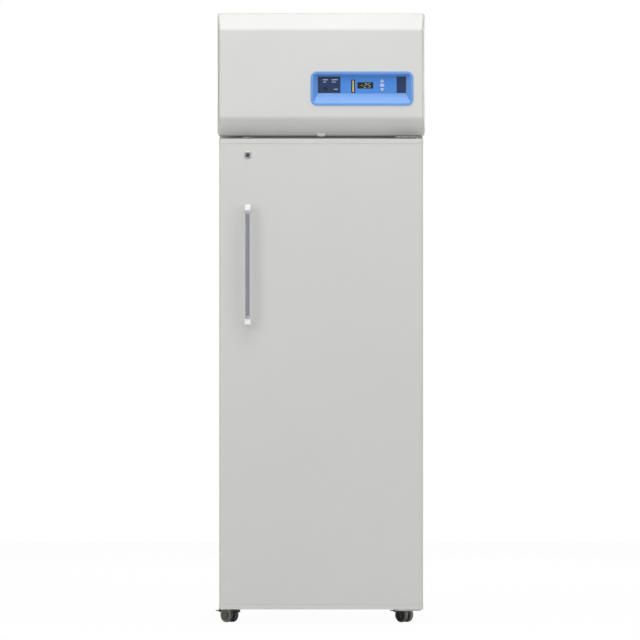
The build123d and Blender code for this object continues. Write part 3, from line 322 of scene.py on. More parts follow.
def filterPaper(name):
    paint = Paint(name)
    weave = paint.noise(700, 4, (1, 1, 0.3))
    body = paint.mix(weave, (0.46, 0.49, 0.52), (0.66, 0.69, 0.72))
    return paint.finish(body, 0.95, normal=paint.bump(weave, 0.5, 0.0006))


whiteEnamel = enamelPaint("cabinetEnamel")
doorEnamel = enamelPaint("doorEnamel", 0.985)
linerEnamel = enamelPaint("linerEnamel", 1.10)
hoodPlastic = mouldedPlastic("hoodPlastic", (0.610, 0.612, 0.595), 0.38, 0.05)
capPlastic = mouldedPlastic("capPlastic", (0.600, 0.600, 0.588), 0.38, 0.05)
postSilver = mouldedPlastic("postSilver", (0.82, 0.82, 0.81), 0.30, 0.03)
breakerPlastic = mouldedPlastic("breakerPlastic", (0.66, 0.66, 0.66), 0.45)
blackPlastic = mouldedPlastic("blackPlastic", (0.018, 0.018, 0.019), 0.48)
panelBlue = mouldedPlastic("panelBlue", (0.140, 0.318, 0.70), 0.36, 0.05)
keyBlue = mouldedPlastic("keyBlue", (0.44, 0.55, 0.82), 0.38, 0.04)
darkCaster = mouldedPlastic("darkCaster", (0.115, 0.122, 0.092), 0.5, 0.15)
inlayGrey = mouldedPlastic("inlayGrey", (0.215, 0.225, 0.265), 0.55, 0.10)
satinAluminium = brushedMetal("satinAluminium", (0.80, 0.81, 0.82), 0.34)
drawnSteel = brushedMetal("drawnSteel", (0.60, 0.60, 0.61), 0.30, (1, 0.03, 1))
finAluminium = brushedMetal("finAluminium", (0.74, 0.75, 0.76), 0.36)
platedSteel = platedMetal("platedSteel", (0.58, 0.58, 0.59), 0.26)
brightChrome = platedMetal("brightChrome", (0.80, 0.80, 0.81), 0.12)
darkSteel = platedMetal("darkSteel", (0.22, 0.22, 0.23), 0.34)
galvanised = galvanisedSheet("galvanisedSheet")
blackPowder = powderCoat("blackPowder", (0.022, 0.022, 0.024))
motorGrey = powderCoat("motorGrey", (0.085, 0.088, 0.092))
softRubber = rubber("softRubber", (0.020, 0.020, 0.020))
sealVinyl = rubber("sealVinyl", (0.36, 0.36, 0.37), 0.6)
wheelTread = rubber("wheelTread", (0.235, 0.240, 0.225), 0.6)
copper = copperTube("copperTube")
foam = foamCore("foamCore")
filterMedia = filterPaper("filterPaper")
print("finishes made:", len(bpy.data.materials))

dress = {
    "cabinet_shell": whiteEnamel, "cabinet_foam": foam, "cabinet_liner": linerEnamel,
    "breaker_frame": breakerPlastic, "base_frame": blackPowder, "rear_bumpers": softRubber,
    "shelf_standards": drawnSteel, "shelf_clips": platedSteel,
    "evaporator_cover": linerEnamel, "evaporator_coil": finAluminium,
    "evaporator_fan": blackPlastic, "fan_motors": motorGrey,
    "condenser_coil": finAluminium, "condenser_shroud": galvanised,
    "condenser_fan": blackPlastic, "air_filter": filterMedia,
    "compressor": blackPowder, "compressor_grommets": softRubber, "refrigerant_lines": copper,
    "control_box": galvanised, "machine_side_panels": whiteEnamel, "rear_grille": whiteEnamel,
    "power_inlet": blackPlastic, "hood_hinge": galvanised, "hood_panel": hoodPlastic,
    "panel_bezel": panelBlue, "panel_overlay": panelBlue, "display_module": blackPlastic,
    "up_key": keyBlue, "enter_key": keyBlue, "down_key": keyBlue,
    "door_skin": doorEnamel, "door_liner": breakerPlastic, "door_foam": foam,
    "door_end_caps": capPlastic, "door_gasket": sealVinyl, "hinge_brackets": platedSteel,
    "handle_bar": satinAluminium, "handle_inlay": inlayGrey, "door_fittings": brightChrome,
    "lock_cylinder": darkSteel, "lock_bolt": platedSteel, "lock_keeper": platedSteel,
    "caster_plates": platedSteel, "rear_axle_brackets": platedSteel, "rear_wheels": wheelTread,
    "left_caster_fork": darkCaster, "right_caster_fork": darkCaster,
    "left_caster_wheels": wheelTread, "right_caster_wheels": wheelTread,
    "left_brake_pedal": darkCaster, "right_brake_pedal": darkCaster,
    "shelf_1": linerEnamel, "shelf_2": linerEnamel, "shelf_3": linerEnamel, "shelf_4": linerEnamel,
}


def coverNode(name, material):
    mesh = nodes[name].data
    mesh.materials.clear()
    mesh.materials.append(material)


for name, material in dress.items():
    coverNode(name, material)
print("nodes dressed:", len(dress))


# mesh making

def evenNormals(piece):
    # large flat faces keep their own normal, so small bevels don't shade them
    even = piece.modifiers.new("evenNormals", "WEIGHTED_NORMAL")
    even.keep_sharp = True


def newPiece(name, mesh, material, body, stands=()):
    piece = bpy.data.objects.new(name, mesh)
    bpy.context.scene.collection.objects.link(piece)
    if not mesh.materials:
        mesh.materials.append(material)
    evenNormals(piece)
    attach(piece, body)
    for node in stands:
        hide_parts(node)
    return piece


def meshFrom(shape, name, smoothBelow=35):
    mesh = bpy.data.meshes.new(name)
    bmesh.ops.recalc_face_normals(shape, faces=shape.faces)
    shape.to_mesh(mesh)
    shape.free()
    mesh.shade_smooth()
    mesh.set_sharp_from_angle(angle=math.radians(smoothBelow))
    return mesh


def addBox(shape, low, high):
    made = bmesh.ops.create_cube(shape, size=1.0)["verts"]
    for vert in made:
        vert.co = Vector([low[k] + (vert.co[k] + 0.5) * (high[k] - low[k]) for k in range(3)])
    return made


def softBlock(shape, low, high, radius, segments=3):
    made = addBox(shape, low, high)
    edges = list(dict.fromkeys(edge for vert in made for edge in vert.link_edges))
    bmesh.ops.bevel(shape, geom=edges, offset=radius, segments=segments, profile=0.5,
                    affect="EDGES")


def turned(shape, profile, centre, along, steps=48):
    # profile: (radius, distance along the axis) from one end to the other
    axis = Vector(along).normalized()
    side = axis.orthogonal().normalized()
    up = axis.cross(side)
    rings = []
    for radius, reach in profile:
        if radius < 1e-6:
            rings.append([shape.verts.new(Vector(centre) + axis * reach)])
            continue
        rings.append([shape.verts.new(Vector(centre) + axis * reach
                                      + side * radius * math.cos(2 * math.pi * step / steps)
                                      + up * radius * math.sin(2 * math.pi * step / steps))
                      for step in range(steps)])
    for lower, upper in zip(rings, rings[1:]):
        for step in range(steps):
            after = (step + 1) % steps
            corners = [lower[step % len(lower)], lower[after % len(lower)],
                       upper[after % len(upper)], upper[step % len(upper)]]
            corners = list(dict.fromkeys(corners))
            if len(corners) > 2:
                shape.faces.new(corners)


def cutWith(piece, cutter):
    cut = piece.modifiers.new("cut", "BOOLEAN")
    cut.operation = "DIFFERENCE"
    cut.object = cutter
    cut.solver = "EXACT"


def bakeModifiers(piece):
    graph = bpy.context.evaluated_depsgraph_get()
    final = bpy.data.meshes.new_from_object(piece.evaluated_get(graph))
    piece.modifiers.clear()
    piece.data = final
    final.shade_smooth()
    final.set_sharp_from_angle(angle=math.radians(35))


# hood: one moulded shell with rounded edges, open at the back and below

hood = {
    "face": (-0.332, 0.332, 1.650, 1.940),   # left, right, bottom and top of the flat face
    "wide": (-0.338, 0.338, 1.603, 1.994),   # the same at the shoulder
    "depths": (-0.439, -0.393, -0.304),      # face, shoulder, back
    "lip": -0.385,
    "round": 0.008,
    "wall": 0.004,
    "window": (-0.029, 0.295, 1.695, 1.796, 0.015),   # edges and corner of the opening
    "tab": (0.0145, 1.605, 1.591),           # half width, top, bottom
    "tabRound": 0.006,
    "bosses": (0.322, 0.334, 0.0085, 0.0041),   # inner and outer end, radius, bore
    "rod": (-0.312, 1.981),
}


def roundedOutline(left, right, low, high, corner, steps=8):
    points = []
    for x, z, start in ((right - corner, high - corner, 0), (left + corner, high - corner, 90),
                        (left + corner, low + corner, 180), (right - corner, low + corner, 270)):
        for step in range(steps + 1):
            angle = math.radians(start + 90 * step / steps)
            points.append((x + corner * math.cos(angle), z + corner * math.sin(angle)))
    return points


def prism(shape, outline, front, back):
    # outline as seen from the front, pushed from one depth to another
    near = [shape.verts.new((x, front, z)) for x, z in outline]
    far = [shape.verts.new((x, back, z)) for x, z in outline]
    shape.faces.new(near)
    shape.faces.new(list(reversed(far)))
    for step in range(len(outline)):
        after = (step + 1) % len(outline)
        shape.faces.new((near[step], far[step], far[after], near[after]))


def makeHood():
    face, shoulder, back = hood["depths"]
    shape = bmesh.new()

    def ring(edges, depth):
        left, right, low, high = edges
        return [shape.verts.new((x, depth, z))
                for x, z in ((left, low), (right, low), (right, high), (left, high))]

    front, middle = ring(hood["face"], face), ring(hood["wide"], shoulder)
    rear = [shape.verts.new((vert.co.x, back, vert.co.z)) for vert in middle]
    lip = [shape.verts.new((vert.co.x, hood["lip"], vert.co.z)) for vert in middle[:2]]
    shape.faces.new(front)
    for step in range(4):
        after = (step + 1) % 4
        shape.faces.new((front[step], middle[step], middle[after], front[after]))
    shape.faces.new((middle[0], lip[0], lip[1], middle[1]))
    shape.faces.new((middle[1], lip[1], rear[1], rear[2], middle[2]))
    shape.faces.new((middle[2], rear[2], rear[3], middle[3]))
    shape.faces.new((middle[3], rear[3], rear[0], lip[0], middle[0]))
    kept = [{middle[0], middle[1]}, {middle[0], lip[0]}, {middle[1], lip[1]}]
    rounded = [edge for edge in shape.edges
               if len(edge.link_faces) == 2 and set(edge.verts) not in kept]
    bmesh.ops.bevel(shape, geom=rounded, offset=hood["round"], segments=5, profile=0.5,
                    affect="EDGES", clamp_overlap=True)
    shell = newPiece("hoodShell", meshFrom(shape, "hoodShell"), hoodPlastic, "hood", ["hood_panel"])
    shell.modifiers.clear()
    wall = shell.modifiers.new("wall", "SOLIDIFY")
    wall.thickness = hood["wall"]
    wall.offset = -1
    left, right, low, high, corner = hood["window"]
    cutter = bmesh.new()
    prism(cutter, roundedOutline(left, right, low, high, corner), face - 0.01, face + 0.02)
    hole = bpy.data.objects.new("windowCutter", meshFrom(cutter, "windowCutter"))
    bpy.context.scene.collection.objects.link(hole)
    cutWith(shell, hole)
    bakeModifiers(shell)
    evenNormals(shell)
    bpy.data.objects.remove(hole)

    shape = bmesh.new()
    radius, top, low = hood["tab"]
    bow = hood["tabRound"]
    arc = [(-radius, top), (-radius, low + bow)]
    arc += [(radius * math.cos(math.radians(a)), low + bow + bow * math.sin(math.radians(a)))
            for a in range(190, 351, 10)]
    arc += [(radius, low + bow), (radius, top)]
    prism(shape, list(reversed(arc)), shoulder, shoulder + hood["wall"])
    bmesh.ops.bevel(shape, geom=[edge for edge in shape.edges if edge.calc_face_angle(0) > 1.2],
                    offset=0.0009, segments=2, affect="EDGES")
    newPiece("hoodTab", meshFrom(shape, "hoodTab"), hoodPlastic, "hood", ["hood_panel"])

    shape = bmesh.new()
    inner, outer, size, bore = hood["bosses"]
    for side in (-1, 1):
        turned(shape, [(bore, 0.010), (bore, 0), (size - 0.001, 0), (size, 0.001),
                       (size + 0.0008, outer - inner), (bore, outer - inner)],
               (side * inner, *hood["rod"]), (side, 0, 0), 32)
    newPiece("hoodBosses", meshFrom(shape, "hoodBosses"), hoodPlastic, "hood", ["hood_panel"])


makeHood()
print("hood made")


# control panel: printed overlay, display with its readout

overlay = {
    "blue": (0.070, 0.243, 0.672),
    "navy": (0.018, 0.038, 0.102),
    "leftBlock": 0.0629,     # right end of the left navy block
    "rightBlock": 0.2460,    # left end of the right navy block
    "strip": (0.0977, 0.1108, 1.7320, 1.7756),
    "bar": (0.1015, 0.1070, 1.7350, 1.7725),
    "gold": (0.56, 0.44, 0.16),
    "marks": [(0.006, 1.7735, 0.016, 0.0028), (0.006, 1.7665, 0.010, 0.0020),
              (0.034, 1.7735, 0.020, 0.0028), (0.034, 1.7665, 0.014, 0.0020),
              (0.042, 1.7430, 0.012, 0.0020)],
    "markColour": (0.46, 0.56, 0.74),
    "lamp": (0.014, 1.7460, 0.0062),
}


def printOverlay():
    paint = Paint("overlayPrint")
    x, z = paint.axis("X"), paint.axis("Z")

    def inside(left, right, low, high):
        return (x > left) * (x < right) * (z > low) * (z < high)

    colour = paint.mix((x < overlay["leftBlock"]) + (x > overlay["rightBlock"]),
                       overlay["blue"], overlay["navy"])
    left, right, low, high = overlay["strip"]
    colour = paint.mix(inside(left, right, low, high), colour, (0.010, 0.016, 0.045))
    left, right, low, high = overlay["bar"]
    colour = paint.mix(inside(left, right, low, high), colour, overlay["gold"])
    for markX, markZ, length, height in overlay["marks"]:
        colour = paint.mix(inside(markX, markX + length, markZ, markZ + height),
                           colour, overlay["markColour"])
    across = x - overlay["lamp"][0]
    upward = z - overlay["lamp"][1]
    lamp = (across * across + upward * upward) < overlay["lamp"][2] ** 2
    colour = paint.mix(lamp, colour, (0.006, 0.008, 0.012))
    cloud = paint.noise(800, 2)
    return paint.finish(colour, 0.32, normal=paint.bump(cloud, 0.03, 0.0003, 0.0004))


coverNode("panel_overlay", printOverlay())

readout = {
    "centre": (0.1440, 1.7565),
    "front": -0.42245,
    "size": (0.0082, 0.0138),    # one digit
    "pitch": 0.0122,
    "bar": 0.0016,
    "slant": 0.10,
    "show": ["-", "2", "5"],
    "colour": (0.40, 0.43, 0.38),
}


def makeReadout():
    lit = {"-": "g", "2": "abged", "5": "afgcd"}
    wide, tall = readout["size"]
    bar = readout["bar"]
    shape = bmesh.new()
    for place, sign in enumerate(readout["show"]):
        midX = readout["centre"][0] + (place - 1) * readout["pitch"]
        midZ = readout["centre"][1]
        for part in lit[sign]:
            level = {"a": 1, "g": 0, "d": -1}.get(part)
            if level is not None:
                spot, half = (0, level * tall / 2), (wide / 2 - bar * 0.7, bar / 2)
            else:
                spot = ({"f": -1, "e": -1, "b": 1, "c": 1}[part] * wide / 2,
                        {"f": 1, "b": 1, "e": -1, "c": -1}[part] * tall / 4)
                half = (bar / 2, tall / 4 - bar * 0.7)
            outline = []
            for sx, sz in ((-1, -0.5), (-0.8, -1), (0.8, -1), (1, -0.5), (1, 0.5), (0.8, 1),
                           (-0.8, 1), (-1, 0.5)):
                dx, dz = spot[0] + sx * half[0], spot[1] + sz * half[1]
                outline.append((midX + dx + dz * readout["slant"], midZ + dz))
            prism(shape, outline, readout["front"], readout["front"] + 0.0004)
    paint = Paint("readoutGrey")
    cloud = paint.noise(300, 2)
    grey = paint.finish(paint.mix(cloud, shade(readout["colour"], 0.9), readout["colour"]), 0.4)
    newPiece("readout", meshFrom(shape, "readout"), grey, "hood")


def glassPaint():
    paint = Paint("displayGlass")
    smear = paint.noise(90, 3)
    return paint.finish(paint.mix(smear, (0.010, 0.016, 0.010), (0.016, 0.022, 0.015)),
                        smear * 0.08 + 0.08, Coat_Weight=0.5, Coat_Roughness=0.05)


coverNode("display_module", glassPaint())
makeReadout()
print("control panel made")


# door handle posts and the lock's bezel

post = {
    "x": -0.239,
    "heights": (0.9855, 1.3565),
    "half": 0.0105,
    "depths": (-0.473, -0.427),
    "nose": 0.0045,
    "foot": 0.0026,
}


def makePosts():
    for tag, height in zip(("lower", "upper"), post["heights"]):
        shape = bmesh.new()
        front, back = post["depths"]
        # outline of the post at a few depths: slim nose, straight body, flared foot
        rows = [(front, post["half"] - post["nose"]), (front + 0.0012, post["half"] - 0.0022),
                (front + 0.0040, post["half"] - 0.0004), (front + 0.0080, post["half"]),
                (back - 0.0060, post["half"]), (back - 0.0020, post["half"] + 0.0004),
                (back, post["half"] + post["foot"] * 0.3)]
        rings = []
        for depth, half in rows:
            corner = min(0.0035, half * 0.6)
            outline = roundedOutline(post["x"] - half, post["x"] + half, height - half,
                                     height + half, corner, 5)
            rings.append([shape.verts.new((x, depth, z)) for x, z in outline])
        shape.faces.new(rings[0])
        shape.faces.new(list(reversed(rings[-1])))
        for near, far in zip(rings, rings[1:]):
            for step in range(len(near)):
                after = (step + 1) % len(near)
                shape.faces.new((near[step], far[step], far[after], near[after]))
        newPiece(tag + "Post", meshFrom(shape, tag + "Post", 50), postSilver, "door",
                 ["door_fittings"])


lockBezel = {
    "centre": (-0.239, 1.529),
    "radius": 0.013,
    "bore": 0.00665,
    "proud": 0.003,
    "barrel": 0.0094,
    "length": 0.030,
}


def makeLockBezel():
    x, z = lockBezel["centre"]
    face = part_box("door_skin")[0].y
    outer, bore, proud = lockBezel["radius"], lockBezel["bore"], lockBezel["proud"]
    shape = bmesh.new()
    barrel, length = lockBezel["barrel"], lockBezel["length"]
    turned(shape, [(bore, length), (bore, -proud + 0.0012), (bore + 0.0012, -proud + 0.0004),
                   (bore + 0.0026, -proud), (outer - 0.0022, -proud),
                   (outer - 0.0008, -proud + 0.0006), (outer, -proud + 0.0018), (outer, 0),
                   (barrel, 0.0002), (barrel, length), (bore, length)], (x, face, z), (0, 1, 0), 56)
    newPiece("lockBezel", meshFrom(shape, "lockBezel"), platedSteel, "door", ["door_fittings"])


makePosts()
makeLockBezel()
print("handle posts and lock bezel made")


# wheels: hard core with a softer tread and a hub cap

wheel = {
    "radius": 0.025,
    "wide": 0.013,
    "pivots": {"left": (-0.287, -0.283), "right": (0.287, -0.283)},
    "turn": 45,
    "trail": 0.020,
    "offset": 0.006,         # inner face of a wheel from the middle of the pair
    "rearY": 0.393,
    "rearInner": 0.274,
    "axle": 0.004,
}


def addWheel(tread, core, centre, along):
    r, wide = wheel["radius"], wheel["wide"]
    turned(tread, [(r - 0.0055, 0.0005), (r - 0.0020, 0.0002), (r - 0.0006, 0.0012), (r, 0.0034),
                   (r, wide - 0.0034), (r - 0.0006, wide - 0.0012), (r - 0.0020, wide - 0.0002),
                   (r - 0.0055, wide - 0.0005)], centre, along, 56)
    turned(core, [(0, 0.0006), (r - 0.0055, 0.0005), (r - 0.0055, wide - 0.0005),
                  (r - 0.0068, wide - 0.0010), (r - 0.0080, wide - 0.0028), (0.0095, wide - 0.0036),
                  (0.0082, wide - 0.0030), (0.0076, wide - 0.0004), (0.0055, wide), (0, wide)],
           centre, along, 56)


def makeWheels():
    for side, (pivotX, pivotY) in wheel["pivots"].items():
        turn = math.radians(wheel["turn"])
        trail = Vector((-math.sin(turn), math.cos(turn), 0)) * wheel["trail"]
        hub = Vector((pivotX, pivotY, wheel["radius"])) + trail
        across = Vector((math.cos(turn), math.sin(turn), 0))
        tread, core = bmesh.new(), bmesh.new()
        for way in (-1, 1):
            addWheel(tread, core, hub + across * way * wheel["offset"], across * way)
        turned(core, [(wheel["axle"], -wheel["offset"]), (wheel["axle"], wheel["offset"])],
               hub, across, 24)
        node = side + "_caster_wheels"
        for part, shape, material in (("Treads", tread, wheelTread), ("Cores", core, darkCaster)):
            newPiece(side + part, meshFrom(shape, side + part), material, side + "_wheels", [node])
    tread, core = bmesh.new(), bmesh.new()
    for way in (-1, 1):
        addWheel(tread, core, Vector((way * wheel["rearInner"], wheel["rearY"], wheel["radius"])),
                 Vector((way, 0, 0)))
    turned(core, [(wheel["axle"], -wheel["rearInner"]), (wheel["axle"], wheel["rearInner"])],
           (0, wheel["rearY"], wheel["radius"]), (1, 0, 0), 24)
    newPiece("rearTreads", meshFrom(tread, "rearTreads"), wheelTread, "rear_wheels", ["rear_wheels"])
    newPiece("rearCores", meshFrom(core, "rearCores"), darkCaster, "rear_wheels", ["rear_wheels"])


makeWheels()
print("wheels made")


# moulded and cast pieces that keep their solids' shape, with the edges broken

easedNodes = {               # node: its body and the radius of its edges
    "door_skin": ("door", 0.0016), "door_end_caps": ("door", 0.0010),
    "handle_bar": ("door", 0.0008), "handle_inlay": ("door", 0.0003),
    "left_caster_fork": ("left_caster", 0.0010), "right_caster_fork": ("right_caster", 0.0010),
    "left_brake_pedal": ("left_pedal", 0.0008), "right_brake_pedal": ("right_pedal", 0.0008),
    "rear_bumpers": ("cabinet", 0.0040), "control_box": ("cabinet", 0.0012),
    "power_inlet": ("cabinet", 0.0006), "compressor_grommets": ("cabinet", 0.0015),
    "up_key": ("up_key", 0.0004), "enter_key": ("enter_key", 0.0004),
    "down_key": ("down_key", 0.0004), "panel_bezel": ("hood", 0.0009),
}


def easeEdges(node, body, width):
    shape = bmesh.new()
    shape.from_mesh(nodes[node].data)
    bmesh.ops.remove_doubles(shape, verts=shape.verts, dist=1e-6)
    bmesh.ops.dissolve_limit(shape, angle_limit=math.radians(0.5), verts=shape.verts,
                             edges=shape.edges)
    sharp = [edge for edge in shape.edges
             if len(edge.link_faces) == 2 and edge.calc_face_angle(0) > math.radians(32)]
    bmesh.ops.bevel(shape, geom=sharp, offset=width, segments=2, profile=0.5, affect="EDGES",
                    clamp_overlap=True)
    words = node.split("_")
    name = words[0] + "".join(word.title() for word in words[1:]) + "Eased"
    newPiece(name, meshFrom(shape, name, 40), dress[node], body, [node])


for node, (body, width) in easedNodes.items():
    easeEdges(node, body, width)
print("edges broken on", len(easedNodes), "nodes")


# finned coils with their return bends

coils = {
    "condenser": {"node": "condenser_coil", "fin": 0.0042, "sheet": 0.0004, "plate": 0.0015,
                  "rows": 11, "columns": 2, "inset": 0.0065},
    "evaporator": {"node": "evaporator_coil", "fin": 0.0055, "sheet": 0.0005, "plate": 0.0015,
                   "rows": 3, "columns": 4, "inset": 0.001},
}
coilTube = 0.0048
returnTube = coilTube * 0.9  # a little thinner, so its ends stay within the tubes' ends
finEdge = 0.001              # how far the fins stay behind the end plates
tubeEnd = 0.0002
widestReturn = 0.04          # rows further apart than this have no return bend


def addReturn(shape, side, x, start, end, radius, steps=8):
    # half-round bend from one tube's end to the next one's
    middle = (start + end) / 2
    arm = (end - start) / 2
    reach = arm.length
    rings = []
    for step in range(steps + 1):
        angle = math.pi * step / steps
        spot = middle - arm * math.cos(angle) + Vector((side * reach * math.sin(angle), 0, 0))
        outward = (spot - middle).normalized()
        across = Vector((side, 0, 0)).cross(arm).normalized()
        rings.append([shape.verts.new(Vector((x, 0, 0)) + spot
                                      + outward * radius * math.cos(2 * math.pi * k / 12)
                                      + across * radius * math.sin(2 * math.pi * k / 12))
                      for k in range(12)])
    for near, far in zip(rings, rings[1:]):
        for k in range(12):
            after = (k + 1) % 12
            shape.faces.new((near[k], near[after], far[after], far[k]))
    shape.faces.new(rings[0])
    shape.faces.new(rings[-1])


def makeCoil(name, size):
    low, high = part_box(size["node"])
    plate = size["plate"]
    fins, plates, tubes = bmesh.new(), bmesh.new(), bmesh.new()
    for x in (low.x, high.x - plate):
        addBox(plates, (x, low.y, low.z), (x + plate, high.y, high.z))
    left, right = low.x + plate, high.x - plate
    count = round((right - left) / size["fin"])
    inset = size["inset"]
    for step in range(1, count):
        x = left + (right - left) * step / count
        addBox(fins, (x - size["sheet"] / 2, low.y + finEdge, low.z + inset),
               (x + size["sheet"] / 2, high.y - finEdge, high.z - inset))
    stepY = (high.y - low.y) / size["columns"]
    stepZ = (high.z - low.z - 2 * inset) / size["rows"]
    spots = [[Vector((0, low.y + stepY * (column + 0.5), low.z + inset + stepZ * (row + 0.5)))
              for row in range(size["rows"])] for column in range(size["columns"])]
    for column, stack in enumerate(spots):
        for row, spot in enumerate(stack):
            turned(tubes, [(coilTube, low.x + tubeEnd), (coilTube, high.x - tubeEnd)],
                   spot, (1, 0, 0), 12)
            if row + 1 < len(stack) and stepZ < widestReturn:
                side = 1 if (row + column) % 2 else -1
                x = high.x - tubeEnd if side > 0 else low.x + tubeEnd
                addReturn(tubes, side, x, spot, stack[row + 1], returnTube)
    for part, shape, material in (("Fins", fins, finAluminium), ("Plates", plates, galvanised),
                                  ("Tubes", tubes, copper)):
        newPiece(name + part, meshFrom(shape, name + part), material, "cabinet", [size["node"]])


for name, size in coils.items():
    makeCoil(name, size)
print("coils made")


# compressor: two deep-drawn shells welded at a seam, on its plate

pot = {
    "round": 0.034,
    "crown": 0.030,
    "seam": 0.52,            # share of the height
    "seamProud": 0.0035,
    "seamHalf": 0.0022,
    "plate": 0.003,
    "foot": 0.012,           # radius of the lower edge
    "margin": 0.008,         # plate past the pot
    "gap": 0.002,
    "terminal": (0.018, 0.040, 0.050),
    "terminalRise": 0.30,    # share of the height
    "terminalRound": 0.003,
    "plateRound": 0.0012,
    "plateLap": 0.0002,      # how far the plate reaches into the pot's foot
    "leastCorner": 0.004,    # corner radius that is left near the top
}


def potRing(shape, middle, halfX, halfY, z, corner):
    outline = roundedOutline(middle.x - halfX, middle.x + halfX, middle.y - halfY,
                             middle.y + halfY, corner, 9)
    return [shape.verts.new((x, y, z)) for x, y in outline]


def makeCompressor():
    low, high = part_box("compressor")
    base = low.z + pot["plate"]
    margin, gap, foot = pot["margin"], pot["gap"], pot["foot"]
    reach = high.x - pot["terminal"][0]
    left = low.x + margin
    middle = Vector(((left + reach - gap) / 2, (low.y + high.y) / 2, 0))
    halfX, halfY = (reach - left) / 2 - gap, (high.y - low.y) / 2 - margin - gap
    tall = high.z - base
    seam = base + tall * pot["seam"]
    rows = [(base, foot)]
    rows += [(base + foot * (1 - math.cos(math.radians(a))), foot * (1 - math.sin(math.radians(a))))
             for a in (30, 60, 90)]
    rows += [(seam - pot["seamHalf"] * 2, 0), (seam - pot["seamHalf"], -pot["seamProud"]),
             (seam + pot["seamHalf"], -pot["seamProud"]), (seam + pot["seamHalf"] * 2, 0)]
    crown = pot["crown"]
    rows += [(high.z - crown * (1 - math.sin(math.radians(a))),
              crown * (1 - math.cos(math.radians(a)))) for a in range(0, 91, 15)]
    shape = bmesh.new()
    rings = [potRing(shape, middle, halfX - inset, halfY - inset, z,
                     max(pot["leastCorner"], pot["round"] - inset)) for z, inset in rows]
    shape.faces.new(rings[0])
    shape.faces.new(rings[-1])
    for near, far in zip(rings, rings[1:]):
        for step in range(len(near)):
            after = (step + 1) % len(near)
            shape.faces.new((near[step], near[after], far[after], far[step]))
    newPiece("compressorPot", meshFrom(shape, "compressorPot", 50), blackPowder, "cabinet",
             ["compressor"])
    shape = bmesh.new()
    softBlock(shape, (low.x, low.y, low.z), (reach + margin, high.y, base + pot["plateLap"]),
              pot["plateRound"])
    wide = pot["terminal"][1] / 2
    rise = base + tall * pot["terminalRise"]
    softBlock(shape, (reach - gap * 2, middle.y - wide, rise),
              (high.x, middle.y + wide, rise + pot["terminal"][2]), pot["terminalRound"])
    newPiece("compressorPlate", meshFrom(shape, "compressorPlate"), blackPlastic, "cabinet",
             ["compressor"])


makeCompressor()
print("compressor made")


# fans: a round hub and curved blades

blades = {
    "count": 5,
    "chord": 0.80,           # radians that a blade covers at its tip
    "root": 0.86,            # and at its root
    "sheet": 0.0014,
    "camber": 0.0035,
    "pitch": 0.40,           # half of a root's rise along the axis, as a share of the depth
    "flatter": 0.10,         # how much less that share is at the tip
    "sweep": 0.10,           # radians that the tip is turned past the root
    "start": 0.92,           # share of the hub's radius
    "reach": 0.985,          # share of the fan's radius
    "steps": 8,
    "hubNose": ((0, 0.0005), (0.7, 0.0008), (0.94, 0.0030), (1, 0.0070)),   # share of radius, place
    "hubEnd": 0.0005,
}
fans = {
    "evaporatorBlades": ("evaporator_fan", (0, 0, 1), 0.016),   # node, axis, hub's radius
    "condenserBlades": ("condenser_fan", (0, 1, 0), 0.020),
}


def makeFan(name, node, along, hubRadius):
    low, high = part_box(node)
    axis = Vector(along)
    middle = (low + high) / 2
    depth = abs((high - low).dot(axis))
    radius = max((high - low)[k] for k in range(3) if abs(axis[k]) < 0.5) / 2
    start = middle - axis * depth / 2
    shape = bmesh.new()
    end = depth - blades["hubEnd"]
    turned(shape, [(hubRadius * share, place) for share, place in blades["hubNose"]]
           + [(hubRadius, end), (0, end)], start, axis, 40)
    side = axis.orthogonal().normalized()
    up = axis.cross(side)
    steps = blades["steps"]
    inner, outer = hubRadius * blades["start"], radius * blades["reach"]
    for blade in range(blades["count"]):
        turn = 2 * math.pi * blade / blades["count"]
        grid = []
        for ring in range(steps + 1):
            share = ring / steps
            reach = inner + (outer - inner) * share
            chord = blades["root"] * (1 - share) + blades["chord"] * share
            row = []
            for step in range(steps + 1):
                t = step / steps - 0.5
                lift = depth * (blades["pitch"] - blades["flatter"] * share) * 2 * t
                bow = blades["camber"] * (1 - 4 * t * t)
                angle = turn + chord * t + blades["sweep"] * share
                row.append(start + side * reach * math.cos(angle) + up * reach * math.sin(angle)
                           + axis * (depth / 2 + lift - bow))
            grid.append(row)
        top = [[shape.verts.new(spot) for spot in row] for row in grid]
        under = [[shape.verts.new(spot + axis * blades["sheet"]) for spot in row] for row in grid]
        for a in range(steps):
            for b in range(steps):
                shape.faces.new((top[a][b], top[a][b + 1], top[a + 1][b + 1], top[a + 1][b]))
                shape.faces.new((under[a][b], under[a + 1][b], under[a + 1][b + 1], under[a][b + 1]))
        rim = ([(0, b) for b in range(steps)] + [(a, steps) for a in range(steps)]
               + [(steps, b) for b in range(steps, 0, -1)] + [(a, 0) for a in range(steps, 0, -1)])
        for spot, after in zip(rim, rim[1:] + rim[:1]):
            shape.faces.new((top[spot[0]][spot[1]], under[spot[0]][spot[1]],
                             under[after[0]][after[1]], top[after[0]][after[1]]))
    newPiece(name, meshFrom(shape, name, 40), dress[node], node, [node])


for name, (node, along, hubRadius) in fans.items():
    makeFan(name, node, along, hubRadius)
print("fans made")


# screw heads where sheets are fastened

screws = {
    "radius": 0.0042,
    "proud": 0.0018,
    "grille": (0.014, 0.012),    # in from the sides, and from top and bottom
    "panels": (0.02, 0.008),     # in from front and back, and up from the lower edge
    "cover": (0.018, 0.02),      # in from the sides, and from front and back
}


def addScrew(shape, spot, out):
    r, proud = screws["radius"], screws["proud"]
    turned(shape, [(r, 0.00005), (r, proud * 0.45), (r * 0.86, proud * 0.8), (r * 0.55, proud),
                   (r * 0.5, proud), (r * 0.42, proud * 0.45), (0, proud * 0.42)],
           spot, out, 24)


